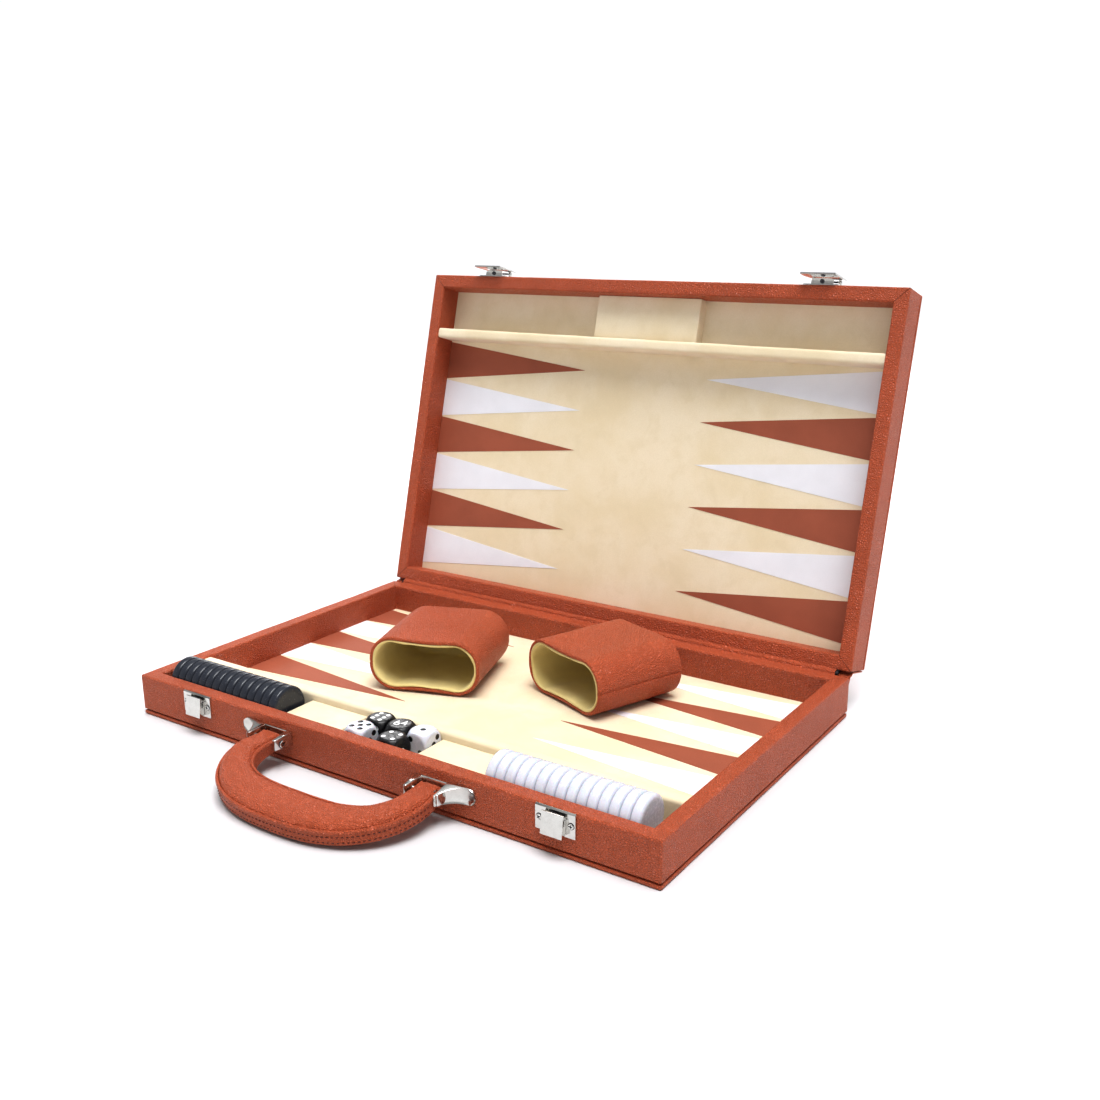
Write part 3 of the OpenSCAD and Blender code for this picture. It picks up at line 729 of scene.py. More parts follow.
def build_bracket(side):
    """A cast bracket: back plate, two cheeks, and the wing on its outboard side."""
    node = "handle_bracket_" + side
    low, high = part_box(node)
    wall_y = high.y
    middle_x = high.x - WING_END if side == "right" else low.x + WING_END
    bm = bmesh.new()
    plate = (-PLATE_HALF, PLATE_HALF, *BRACKET_Z)
    rounded_bar(bm, (plate, 0.0), (plate, -1.2 * MM), 0.5 * MM)
    for sign in (-1, 1):
        wall = sorted((sign * CHEEK_WALL_X[0], sign * CHEEK_WALL_X[1]))
        front = sorted((sign * CHEEK_FRONT_X[0], sign * CHEEK_FRONT_X[1]))
        rounded_bar(bm, ((*wall, *BRACKET_Z), 0.0), ((*front, *CHEEK_FRONT_Z), -CHEEK_REACH),
                    0.55 * MM)
    build_wing(bm)
    recalc(bm)
    if side == "left":
        bm.transform(Matrix.Scale(-1, 4, Vector((1, 0, 0))))
        bmesh.ops.reverse_faces(bm, faces=bm.faces[:])
    bm.transform(Matrix.Translation(Vector((middle_x, wall_y, 0.0))))
    recalc(bm)
    return add_piece("metal_" + node, bm, "nickel", "base", [node], 50.0)


def loose_parts(node, turn=None):
    """The boxes of a CAD node's separate solids, as (low, high), with the turn taken off first."""
    bm = bmesh.new()
    bm.from_mesh(NODES[node].data)
    bmesh.ops.remove_doubles(bm, verts=bm.verts[:], dist=WELD)
    if turn:
        bm.transform(turn.inverted())
    bm.verts.ensure_lookup_table()
    seen = set()
    boxes = []
    for start in bm.verts:
        if start.index in seen:
            continue
        seen.add(start.index)
        queue = [start]
        for vertex in queue:
            for edge in vertex.link_edges:
                other = edge.other_vert(vertex)
                if other.index not in seen:
                    seen.add(other.index)
                    queue.append(other)
        boxes.append(span([vertex.co for vertex in queue]))
    bm.free()
    return boxes


def cross_outline(arm, half):
    """A plus-shaped outline with evenly divided sides."""
    quarter = [(arm, -half), (arm, half), (half, half)]
    corners = []
    for turn in range(4):
        for x, z in quarter:
            corners.append([(x, z), (-z, x), (-x, -z), (z, -x)][turn])
    return [Vector(first).lerp(Vector(second), k / 3)
            for first, second in zip(corners, corners[1:] + corners[:1]) for k in range(3)]


def cross_screw(bm, place, length, head_r, head_h, thread_r, turned):
    """A screw with a cross recess, along +y with the top of its head at y = 0, then put in its place."""
    turn = Matrix.Rotation(turned, 2)
    cross = [turn @ point for point in cross_outline(head_r * 0.56, head_r * 0.14)]
    circle = [point.normalized() for point in cross]
    profile = [(circle, thread_r * 0.6, length), (circle, thread_r, length - 0.5 * MM),
               (circle, thread_r, head_h), (circle, head_r, head_h * 0.8),
               (circle, head_r * 0.86, head_h * 0.5), (circle, head_r * 0.72, 0.01 * MM),
               (cross, 1.0, 0.0), (cross, 0.85, head_h * 0.7)]
    loops = [[place @ Vector((point.x * size, y, point.y * size)) for point in shape]
             for shape, size, y in profile]
    rows = add_solid(bm, loops)
    # painted shade: the ring at the head's seat and the cross recess take the dark steel colour
    for vertex in rows[3] + rows[-1]:
        for face in vertex.link_faces:
            face.material_index = 1


def add_screws(node, bm, body):
    recalc(bm)
    # the second material is painted shade round the heads and in the recesses
    return add_piece("metal_" + node, bm, ["nickel", "dark_steel"], body, [node], 30.0)


def build_latch_screws(node, body, head_h, turn=None):
    bm = bmesh.new()
    for number, (low, high) in enumerate(loose_parts(node, turn)):
        middle = (low + high) / 2
        place = Matrix.Translation((middle.x, low.y, middle.z))
        cross_screw(bm, place, high.y - low.y, (high.x - low.x) / 2, head_h, 0.8 * MM,
                    0.35 + 0.9 * number)
    if turn:
        bm.transform(turn)
    return add_screws(node, bm, body)


HANDLE_PIN_R = 1.5 * MM
HANDLE_HEAD_H = 0.9 * MM


def build_handle_pins():
    """The pivots, each screwed in from the inner side of its bracket."""
    bm = bmesh.new()
    boxes = sorted(loose_parts("handle_pins"), key=lambda box: box[0].x)
    for (low, high), head_x, quarter in zip(boxes, (boxes[0][1].x, boxes[1][0].x), (90, -90)):
        middle = (low + high) / 2
        place = (Matrix.Translation((head_x, middle.y, middle.z))
                 @ Matrix.Rotation(math.radians(quarter), 4, "Z"))
        cross_screw(bm, place, high.x - low.x, (high.z - low.z) / 2, HANDLE_HEAD_H, HANDLE_PIN_R, 0.5)
    return add_screws("handle_pins", bm, "base")


def build_metal():
    for side in ("left", "right"):
        bevelled("latch_plate_" + side, "nickel", "base", 0.22 * MM)
        bevelled("latch_lever_" + side, "nickel", "lever_" + side, 0.28 * MM)
        bevelled("latch_hook_" + side, "dark_steel", "lever_" + side, 0.1 * MM)
        bevelled("lid_latch_plate_" + side, "nickel", "lid", 0.2 * MM)
        bevelled("hasp_" + side, "nickel", "hasp_" + side, 0.3 * MM)
        build_bracket(side)
    for node, body, width in (("latch_pins", "base", 0.08), ("latch_springs", "base", 0.05),
                              ("hasp_pins", "lid", 0.1), ("lid_latch_studs", "lid", 0.3)):
        bevelled(node, "dark_steel", body, width * MM)
    build_latch_screws("latch_screws", "base", 0.7 * MM)
    build_latch_screws("lid_latch_screws", "lid", 0.6 * MM, LID_TURN)
    build_handle_pins()
    for node in ("hinge_leaf_base", "hinge_leaf_lid", "hinge_pin"):
        dress(node, "dark_steel")
    dress("handle_core", "steel")


# ------------------------------------------------------------------ men


LATHE_STEPS = 96
MAN_DISH = 0.14 * MM


def lathe(bm, profile, axis_point):
    """Turns (radius, along) points round a line parallel to X through axis_point."""
    turns = [2 * math.pi * i / LATHE_STEPS for i in range(LATHE_STEPS)]
    add_solid(bm, [[axis_point + Vector((along, radius * math.cos(a), radius * math.sin(a)))
                    for a in turns] for radius, along in profile])


def man_profile(radius, thick):
    """Half section of one man: flat faces with a shallow dish and a full rounded rim."""
    rim_in, rim_out = 2.3 * MM, 1.75 * MM
    face = [(at, MAN_DISH) for at in (0.2 * MM, radius * 0.5, radius - 4.2 * MM)]
    face.append((radius - 3.5 * MM, 0.0))
    edge = [(radius - rim_in + rim_in * math.sin(a), rim_out - rim_out * math.cos(a))
            for a in quarter(10)]
    half = face + edge + [(radius, thick / 2)]
    return half + [(r, thick - along) for r, along in reversed(half[:-1])]


MEN_IN_NODE = 5
MEN_GAP = 0.1 * MM


def build_men():
    for colour in ("black", "white"):
        for group in "abc":
            node = "men_%s_%s" % (colour, group)
            low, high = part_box(node)
            radius = (high.z - low.z) / 2
            centre = (low + high) / 2
            pitch = (high.x - low.x + MEN_GAP) / MEN_IN_NODE
            bm = bmesh.new()
            for i in range(MEN_IN_NODE):
                at = Vector((low.x + i * pitch, centre.y, centre.z))
                lathe(bm, man_profile(radius, pitch - MEN_GAP), at)
            recalc(bm)
            add_piece("stack_" + node, bm, colour + "_resin", node, [node])


# ------------------------------------------------------------------ dice

PIP_R = {"white": 1.7 * MM, "black": 1.45 * MM}
PIP_SINK = 0.30 * MM
PIP_STEP = 3.4 * MM
PIP_ROWS = 3.7 * MM


def pip_places(value):
    """Pip centres on a face in face units, for each value."""
    corner = [(-1, -1), (1, 1), (-1, 1), (1, -1)]
    places = {1: [(0, 0)], 2: corner[2:], 3: [(0, 0)] + corner[:2], 4: corner,
              5: [(0, 0)] + corner}
    if value == 6:
        return [(side * 0.78 * PIP_STEP, row * PIP_ROWS) for side in (-1, 1) for row in (-1, 0, 1)]
    return [(x * PIP_STEP, y * PIP_STEP) for x, y in places[value]]


def face_frames(half):
    """Centre and two edge directions of the six faces: top, bottom, front, back, right, left."""
    x, y, z = Vector((1, 0, 0)), Vector((0, 1, 0)), Vector((0, 0, 1))
    return {"top": (z * half, x, y), "bottom": (-z * half, x, -y),
            "front": (-y * half, x, z), "back": (y * half, -x, z),
            "right": (x * half, y, z), "left": (-x * half, -y, z)}


BALL_SHARE = 1.386
DIE_EDGE = 0.55 * MM


def die_body(bm, half):
    """A cube whose corners are turned off by a ball, with soft edges."""
    steps = 22
    ball = half * BALL_SHARE
    for centre, across, up in face_frames(1.0).values():
        grid = []
        for i in range(steps + 1):
            row = []
            for j in range(steps + 1):
                a = math.tan((2 * i / steps - 1) * math.pi / 4)
                b = math.tan((2 * j / steps - 1) * math.pi / 4)
                point = (centre + across * a + up * b) * half
                row.append(bm.verts.new(soften(point, half, DIE_EDGE, ball)))
            grid.append(row)
        for i in range(steps):
            for j in range(steps):
                bm.faces.new((grid[i][j], grid[i + 1][j], grid[i + 1][j + 1], grid[i][j + 1]))
    bmesh.ops.remove_doubles(bm, verts=bm.verts[:], dist=0.002 * MM)
    recalc(bm)


def soften(point, half, edge, ball):
    """A point on the cube moved to the rounded form."""
    inner = half - edge
    core = Vector([max(-inner, min(inner, value)) for value in point])
    out = point - core
    if out.length > 0:
        point = core + out.normalized() * edge
    reach = point.length
    if reach > ball - edge:
        over = reach - (ball - edge)
        point = point * ((ball - edge + edge * math.tanh(over / edge)) / reach)
    return point


def cut_pips(piece, half, faces, cutter_material, pip_r):
    """Sinks shallow round pips into a die's faces and colours them."""
    ball = (pip_r ** 2 + PIP_SINK ** 2) / (2 * PIP_SINK)
    bm = bmesh.new()
    frames = face_frames(half)
    for side, value in faces.items():
        centre, across, up = frames[side]
        normal = centre.normalized()
        for x, y in pip_places(value):
            at = centre + across * x + up * y + normal * (ball - PIP_SINK)
            cut = bmesh.ops.create_uvsphere(bm, u_segments=40, v_segments=24, radius=ball)
            spin = normal.to_track_quat("Z", "Y").to_matrix().to_4x4()
            bmesh.ops.transform(bm, matrix=Matrix.Translation(at) @ spin, verts=cut["verts"])
    apply_cut(piece, bm, cutter_material)


def apply_cut(piece, bm, cutter_material):
    """Takes a bmesh away from a piece; the cut faces get the cutter's material."""
    mesh = bpy.data.meshes.new("cutter")
    for face in bm.faces:
        face.smooth = True
    bm.to_mesh(mesh)
    bm.free()
    mesh.materials.append(MATERIALS[cutter_material])
    cutter = add_object("cutter", mesh)
    cutter.matrix_world = piece.matrix_world
    modifier = piece.modifiers.new("cut", "BOOLEAN")
    modifier.object = cutter
    modifier.operation = "DIFFERENCE"
    modifier.solver = "EXACT"
    modifier.material_mode = "TRANSFER"
    graph = bpy.context.evaluated_depsgraph_get()
    result = bpy.data.meshes.new_from_object(piece.evaluated_get(graph))
    piece.modifiers.clear()
    piece.data = result
    bpy.data.objects.remove(cutter)


def build_die(node, colour, yaw, values):
    """A die with its six values, or the doubling cube where they are over six."""
    low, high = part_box(node)
    half = (high.z - low.z) / 2
    bm = bmesh.new()
    die_body(bm, half)
    finish = "black_die" if colour == "black" else "white_resin"
    piece = add_piece("cube_" + node, bm, finish, None)
    turn = Matrix.Translation((low + high) / 2) @ Matrix.Rotation(math.radians(yaw), 4, "Z")
    faces = dict(zip(("top", "bottom", "front", "back", "right", "left"), values))
    numbered = max(values) > 6
    if not numbered:
        pip = "pip_white" if colour == "black" else "pip_black"
        cut_pips(piece, half, faces, pip, PIP_R[colour])
    piece.data.transform(turn)
    smooth_by_angle(piece.data, 30.0)
    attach(piece, node)
    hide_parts(node)
    if numbered:
        for side, value in faces.items():
            raised_number(node, side, value, half, turn)


NUMBER_SIZE = 8.6 * MM
NUMBER_RISE = 0.06 * MM
NUMBER_TILT = math.radians(15)


def raised_number(node, side, value, half, turn):
    """A filled number standing a hair above a face of the doubling cube."""
    text = bpy.data.curves.new("number", "FONT")
    text.body = str(value)
    text.size = NUMBER_SIZE
    text.extrude = NUMBER_RISE
    text.offset = NUMBER_RISE
    text.align_x = "CENTER"
    text.align_y = "CENTER"
    holder = add_object("number", text)
    bpy.context.view_layer.update()
    graph = bpy.context.evaluated_depsgraph_get()
    mesh = bpy.data.meshes.new_from_object(holder.evaluated_get(graph))
    bpy.data.objects.remove(holder)
    centre, across, up = face_frames(half)[side]
    basis = Matrix((across, up, centre.normalized())).transposed().to_4x4()
    if side == "top":
        basis = basis @ Matrix.Rotation(NUMBER_TILT, 4, "Z")
    mesh.transform(turn @ Matrix.Translation(centre) @ basis)
    piece = add_object("number_%s_%s" % (node, side), mesh)
    mesh.materials.clear()
    mesh.materials.append(MATERIALS["pip_white"])
    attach(piece, node)


def build_dice():
    """Values are for the top, bottom, front, back, right and left."""
    build_die("die_white_five", "white", -4, (5, 2, 6, 1, 3, 4))
    build_die("die_white_one", "white", 0, (1, 6, 2, 5, 3, 4))
    build_die("die_black_six", "black", 0, (6, 1, 5, 2, 3, 4))
    build_die("die_black_four", "black", 0, (4, 3, 2, 5, 1, 6))
    build_die("doubling_cube", "black", 9, (64, 2, 32, 4, 16, 8))


# ------------------------------------------------------------------ dice cups


def racetrack(width, height, corner, count):
    """Evenly spaced points round a rounded rectangle centred on zero, from its right end."""
    flat_x, flat_y = width - 2 * corner, height - 2 * corner
    bend = corner * math.pi / 2
    total = 2 * flat_x + 2 * flat_y + 4 * bend
    pieces = [("up", flat_y / 2), ("arc", bend, 0), ("left", flat_x), ("arc", bend, 90),
              ("down", flat_y), ("arc", bend, 180), ("right", flat_x), ("arc", bend, 270),
              ("up2", flat_y / 2)]
    return [track_point(total * i / count, pieces, width, height, corner) for i in range(count)]


def track_point(s, pieces, width, height, corner):
    cx, cy = width / 2 - corner, height / 2 - corner
    centres = {0: (cx, cy), 90: (-cx, cy), 180: (-cx, -cy), 270: (cx, -cy)}
    for entry in pieces:
        kind, length = entry[0], entry[1]
        if s <= length:
            break
        s -= length
    if kind == "arc":
        turn = math.radians(entry[2]) + s / corner
        x, y = centres[entry[2]]
        return (x + corner * math.cos(turn), y + corner * math.sin(turn))
    return {"up": (width / 2, s), "left": (cx - s, height / 2), "down": (-width / 2, cy - s),
            "right": (-cx + s, -height / 2), "up2": (width / 2, -cy + s)}[kind]


CUP_YAW = {"left": 109.2, "right": 69.6}
CUP_WAIST = 1.5 * MM
LINING_WAIST = 1.9 * MM
CUP_WALL = 2.3 * MM
CUP_CORNER = 17.8 * MM
CUP_POINTS = 260
SEAM_HALF = 0.55 * MM
SEAM_DEEP = 0.5 * MM


def cup_loop(width, height, corner, along, seam=None, wave=0.0, phase=0.0, seam_side=1, waist=0.0):
    """One section of a cup across its axis, with its seam dip or its lining's wrinkles."""
    points = []
    track = racetrack(width, height, corner, CUP_POINTS)
    for i, (y, z) in enumerate(track):
        out = Vector((0.0, y, z))
        normal = Vector((0.0, y - max(-width / 2 + corner, min(width / 2 - corner, y)),
                         z - max(-height / 2 + corner, min(height / 2 - corner, z))))
        normal = normal.normalized() if normal.length > 0 else Vector((0.0, 1.0, 0.0))
        if seam is not None:
            gap = abs(z - seam) if y * seam_side > 0 else 1.0
            if gap < 2.2 * SEAM_HALF:
                out -= normal * SEAM_DEEP * math.exp(-(gap / SEAM_HALF) ** 2)
        if wave:
            turn = 2 * math.pi * i / CUP_POINTS
            out -= normal * wave * (0.5 + 0.5 * math.sin(5 * turn + phase)
                                    * math.cos(3 * turn - 2 * phase))
        if waist:
            share = min(1.0, abs(y) / (width / 2))
            out.z -= math.copysign(waist * math.cos(math.pi / 2 * share) ** 2, z)
        out.x = along
        points.append(out)
    return points


def waist_at(distance, depth):
    """How far the long sides draw in, most at the mouth and none at the closed end."""
    return depth * math.exp(-(distance / (26 * MM)) ** 2)


def build_cup(side, yaw):
    shell = "cup_" + side
    low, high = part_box(shell)
    spin = Matrix.Rotation(math.radians(yaw), 4, "Z")
    place = Matrix.Translation((low + high) / 2) @ spin
    size = cup_size(shell, yaw)
    cup_shell_piece(side, place, *size, shell)
    cup_lining_piece(side, place, *size, shell)


def cup_size(node, yaw):
    """Length, width and height of a cup along its own axes."""
    back = Matrix.Rotation(math.radians(-yaw), 3, "Z")
    low, high = span([back @ vertex.co for vertex in NODES[node].data.vertices])
    return [high[axis] - low[axis] for axis in range(3)]


def cup_shell_piece(side, place, length, width, height, shell):
    """Outer leather: a rolled mouth, straight sides with one butt seam, and an inset base."""
    bm = bmesh.new()
    lip = CUP_WALL / 2
    x0, x1 = -length / 2, length / 2
    loops = []

    def ring(inset, along, seam=0.0):
        loops.append(cup_loop(width - 2 * inset, height - 2 * inset,
                              max(CUP_CORNER - inset, 1 * MM), along, seam,
                              seam_side=1 if side == "left" else -1,
                              waist=waist_at(along - x0, CUP_WAIST)))

    ring(CUP_WALL, x0 + 6 * MM, None)
    for k in range(9):
        turn = math.radians(180 - 22.5 * k)
        ring(lip - lip * math.cos(turn), x0 + lip - lip * math.sin(turn))
    for t in between(x0 + lip * 2, x1 - 3 * MM, 16):
        ring(0.0, t)
    edge = 2.0 * MM
    for k in range(7):
        turn = math.radians(15 * k)
        ring(edge - edge * math.cos(turn), x1 - edge + edge * math.sin(turn))
    for inset, depth in ((3.2, 0.0), (3.7, 0.2), (4.0, 0.9), (5.0, 1.1), (8, 1.0), (12, 1.0), (16, 1.0)):
        ring(inset * MM, x1 - depth * MM, None)
    rows = add_loops(bm, loops)
    bm.faces.new(rows[-1])
    recalc(bm)
    roughen(bm, 0.45 * MM, 34 * MM, seed=5.0 if side == "left" else 9.0)
    roughen(bm, 0.10 * MM, 7 * MM, seed=2.0)
    settle(bm, -height / 2)
    return add_piece("cup_leather_" + side, bm, "leather", shell, [shell], 50.0, place)


def settle(bm, floor):
    """Keeps a soft form from dipping through the surface that it lies on."""
    for vertex in bm.verts:
        vertex.co.z = max(vertex.co.z, floor)


def cup_lining_piece(side, place, length, width, height, shell):
    """Suede lining, a little loose, with its raw edge just showing at the mouth."""
    bm = bmesh.new()
    x0, x1 = -length / 2, length / 2
    base_x = x1 - 3 * MM
    loops = []
    phase = 0.6 if side == "left" else 2.4

    def ring(inset, along, wave):
        loops.append(cup_loop(width - 2 * inset, height - 2 * inset,
                              max(CUP_CORNER - inset, 1 * MM), along, None, wave, phase,
                              waist=waist_at(along - x0, LINING_WAIST)))

    outer, inner = CUP_WALL - 0.25 * MM, CUP_WALL + 0.95 * MM
    ring(outer, x0 + 5 * MM, 0.0)
    ring(outer, x0 + 0.9 * MM, 0.0)
    ring(outer + 0.15 * MM, x0 + 0.35 * MM, 0.10 * MM)
    ring((outer + inner) / 2, x0 + 0.15 * MM, 0.25 * MM)
    ring(inner - 0.1 * MM, x0 + 0.4 * MM, 0.7 * MM)
    ring(inner, x0 + 1.2 * MM, 1.1 * MM)
    for i, t in enumerate(between(x0 + 3 * MM, base_x - 3 * MM, 14)):
        ring(inner, t, max(0.3, 1.3 - 0.08 * i) * MM)
    for k in range(5):
        turn = math.radians(22.5 * k)
        ring(inner + 2 * MM * (1 - math.cos(turn)), base_x - 3 * MM + 2 * MM * math.sin(turn),
             0.2 * MM)
    for inset in (7 * MM, 10 * MM, 14 * MM):
        ring(inset, base_x - 1.0 * MM, 0.0)
    rows = add_loops(bm, loops)
    bm.faces.new(rows[-1])
    recalc(bm)
    roughen(bm, 0.5 * MM, 13 * MM, seed=phase * 4)
    roughen(bm, 0.12 * MM, 4 * MM, seed=phase * 7)
    return add_piece("cup_suede_" + side, bm, "lining", shell, ["cup_lining_" + side],
                     60.0, place)


def build_cups():
    for side, yaw in CUP_YAW.items():
        build_cup(side, yaw)


# ------------------------------------------------------------------ handle

GRIP_HALF = 70.5 * MM
GRIP_POWER = 2.5
GAP_HALF = 52.6 * MM
GAP_POWER = 3.2
HANDLE_REACH = 59.0 * MM
GAP_REACH = 33.0 * MM
BAND_LOW = -5.5 * MM
BAND_HIGH = 3.0 * MM
ARM_BACK = 4.5 * MM
NECK_IN = 2.9 * MM
NECK_LEN = 24.0 * MM
DROOP = 9.0  # degrees below level at rest, as in the CAD source
PAD_RISE = 4.0 * MM
WELT = 1.5 * MM


def handle_turn():
    """From the handle's own plane, with its pivot line at y = 0, to where it hangs."""
    swing = JOINTS["handle_swing"]
    low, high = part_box("handle_band")
    pivot = Vector(((low.x + high.x) / 2, swing["pos_m"][1], swing["pos_m"][2]))
    return Matrix.Translation(pivot) @ Matrix.Rotation(math.radians(DROOP), 4, "X")


def superellipse(half, reach, power, turn):
    """A point on a quarter of a rounded outline: beside the pivot at 0, in front at 90 degrees."""
    across = half * max(0.0, math.cos(turn)) ** (2 / power)
    ahead = reach * max(0.0, math.sin(turn)) ** (2 / power)
    return across, ahead


def handle_stations():
    """Pairs of outer and inner edge points along the handle, from one arm to the other."""
    stations = []
    for back in between(ARM_BACK, 0.0, 4):
        stations.append(((GRIP_HALF - NECK_IN, -back), (GAP_HALF, -back)))
    steps = 44
    for i in range(steps + 1):
        turn = math.pi / 2 * i / steps
        outer = superellipse(GRIP_HALF, HANDLE_REACH, GRIP_POWER, turn)
        inner = superellipse(GAP_HALF, GAP_REACH, GAP_POWER, turn)
        neck = NECK_IN * max(0.0, 1 - outer[1] / NECK_LEN) ** 2
        stations.append(((outer[0] - neck, outer[1]), inner))
    mirrored = [((-o[0], o[1]), (-i[0], i[1])) for o, i in reversed(stations[:-1])]
    return stations + mirrored


def arm_drop(ahead):
    """How far the top of an arm drops towards its bracket."""
    return 1.3 * MM * max(0.0, 1 - ahead / (26 * MM)) ** 1.6


def band_section(drop):
    """The stitched band across the handle: (distance from the edge, height) points."""
    low_r = 1.0 * MM
    top = BAND_HIGH - drop
    points = [(low_r - low_r * math.sin(a), BAND_LOW + low_r - low_r * math.cos(a))
              for a in quarter(4)]
    points += [(0.0, z) for z in between(BAND_LOW + 1.8 * MM, top - 1.9 * MM, 4)]
    points += [(-0.30 * MM * math.sin(math.pi * k / 6) ** 0.7, top - 1.9 * MM + 1.9 * MM * k / 6)
               for k in range(1, 6)]
    welt = WELT / 2
    points += [(welt - welt * math.cos(a), top + 0.75 * welt * math.sin(a))
               for a in (math.radians(22.5 * k) for k in range(1, 8))]
    points += [(WELT, top - 0.7 * MM), (WELT + 0.5 * MM, top - 0.9 * MM)]
    return points


def build_handle():
    turn = handle_turn()
    stations = handle_stations()
    build_band(stations, turn)
    build_pad(stations, turn)
    build_stitches(stations, turn)


def across(station, offset, side):
    """A point in the handle's plane, offset from the outer (side 0) or inner edge."""
    outer, inner = Vector(station[0]), Vector(station[1])
    direction = (inner - outer).normalized()
    return outer + direction * offset if side == 0 else inner - direction * offset


def build_band(stations, turn):
    """The leather band that wraps the handle's edges and underside, with its welts."""
    bm = bmesh.new()
    loops = []
    for station in stations:
        section = band_section(arm_drop(max(station[0][1], 0.0)))
        outer = [(across(station, offset, 0), z) for offset, z in section]
        inner = [(across(station, offset, 1), z) for offset, z in section]
        loop = outer + list(reversed(inner))
        loops.append([Vector((p.x, -p.y, z)) for p, z in loop])
    add_solid(bm, loops)
    recalc(bm)
    roughen(bm, 0.14 * MM, 12 * MM, seed=4.0)
    return add_piece("handle_band_leather", bm, "handle", "handle", ["handle_band"],
                     50.0, turn)


def build_pad(stations, turn):
    """The padded top: a crowned roll between the welts, thin where it enters the brackets."""
    bm = bmesh.new()
    loops = []
    steps = 26
    count = len(stations)
    for index, station in enumerate(stations):
        outer = across(station, WELT * 0.9, 0)
        inner = across(station, WELT * 0.9, 1)
        ahead = max(station[0][1], 0.0)
        base = BAND_HIGH - arm_drop(ahead) - 0.75 * MM
        full = min(1.0, ahead / (24 * MM))
        rise = 2.6 * MM + (PAD_RISE + 0.75 * MM - 2.6 * MM) * full * full * (3 - 2 * full)
        flatness = 7.0 - 4.6 * full
        end = min(index, count - 1 - index)
        rise *= min(1.0, 0.6 + 0.2 * end)
        loop = []
        for k in range(steps + 1):
            t = 0.5 - 0.5 * math.cos(math.pi * k / steps)
            crown = (1 - abs(2 * t - 1) ** flatness) ** 0.55
            point = outer.lerp(inner, t)
            loop.append(Vector((point.x, -point.y, base + rise * crown)))
        under = [Vector((p.x, p.y, base - 0.5 * MM)) for p in (loop[-1], loop[0])]
        loops.append(loop + under)
    add_solid(bm, loops)
    recalc(bm)
    for amount, size, seed in ((0.45, 24, 1.5), (0.14, 7, 6.5)):
        roughen(bm, amount * MM, size * MM, seed, lambda co: co.z > BAND_HIGH)
    piece = add_piece("handle_pad_leather", bm, "handle", "handle", ["handle_pad"],
                      60.0, turn)
    return piece


STITCH_PITCH = 2.7 * MM
STITCH_LEN = 1.8 * MM
STITCH_R = 0.30 * MM


def build_stitches(stations, turn):
    """Two rows of saddle stitches round the outer face of the band."""
    line = [Vector(station[0]) for station in stations]
    bm = bmesh.new()
    for height in (BAND_HIGH - 3.1 * MM, BAND_LOW + 2.0 * MM):
        for at, along in spaced(line, STITCH_PITCH):
            out = Vector((along.y, -along.x))
            place = at + out * 0.05 * MM
            if at.y < 9 * MM:
                continue
            add_stitch(bm, Vector((place.x, -place.y, height)), Vector((along.x, -along.y, 0.0)))
    recalc(bm)
    return add_piece("handle_stitches", bm, "thread", "handle", (), 80.0, turn)


def spaced(line, pitch):
    """Points at an even pitch along a line, with the direction there."""
    result = []
    carry = pitch / 2
    for first, second in zip(line, line[1:]):
        span = (second - first).length
        if span == 0:
            continue
        direction = (second - first) / span
        while carry < span:
            result.append((first + direction * carry, direction))
            carry += pitch
        carry -= span
    return result


def add_stitch(bm, centre, along):
    """A short rounded thread, its ends turned down into the leather."""
    along = along.normalized()
    up = Vector((0, 0, 1))
    side = along.cross(up)
    steps, ring = 6, 7
    loops = []
    for i in range(steps + 1):
        t = 2 * i / steps - 1
        sink = abs(t) ** 3 * STITCH_R * 1.6
        thick = STITCH_R * math.sqrt(max(0.05, 1 - abs(t) ** 4))
        middle = centre + along * (t * STITCH_LEN / 2) - side * sink * stitch_side(side, centre)
        loops.append([middle + (side * math.cos(a) + up * math.sin(a)) * thick
                      for a in (2 * math.pi * k / ring for k in range(ring))])
    add_solid(bm, loops)


def stitch_side(side, centre):
    """1 where side points away from the middle of the handle, else -1."""
    return 1.0 if side.x * centre.x + side.y * centre.y > 0 else -1.0


# ------------------------------------------------------------------ hinge leather

SPINE_T = 0.8 * MM
SPINE_LAP = 0.7 * MM


def leather_strip(bm, path, places, at, above, below):
    """A path in the YZ plane swept along X, with its two faces this far off it."""
    loops = []
    for x in places:
        outer, inner = [], []
        for k, point in enumerate(path):
            before, after = path[max(k - 1, 0)], path[min(k + 1, len(path) - 1)]
            tangent = (after - before).normalized()
            normal = Vector((0, tangent.z, -tangent.y))
            middle = at + Vector((x, point.y, point.z))
            outer.append(middle + normal * above)
            inner.append(middle + normal * below)
        loops.append(outer + list(reversed(inner)))
    add_solid(bm, loops)
    recalc(bm)


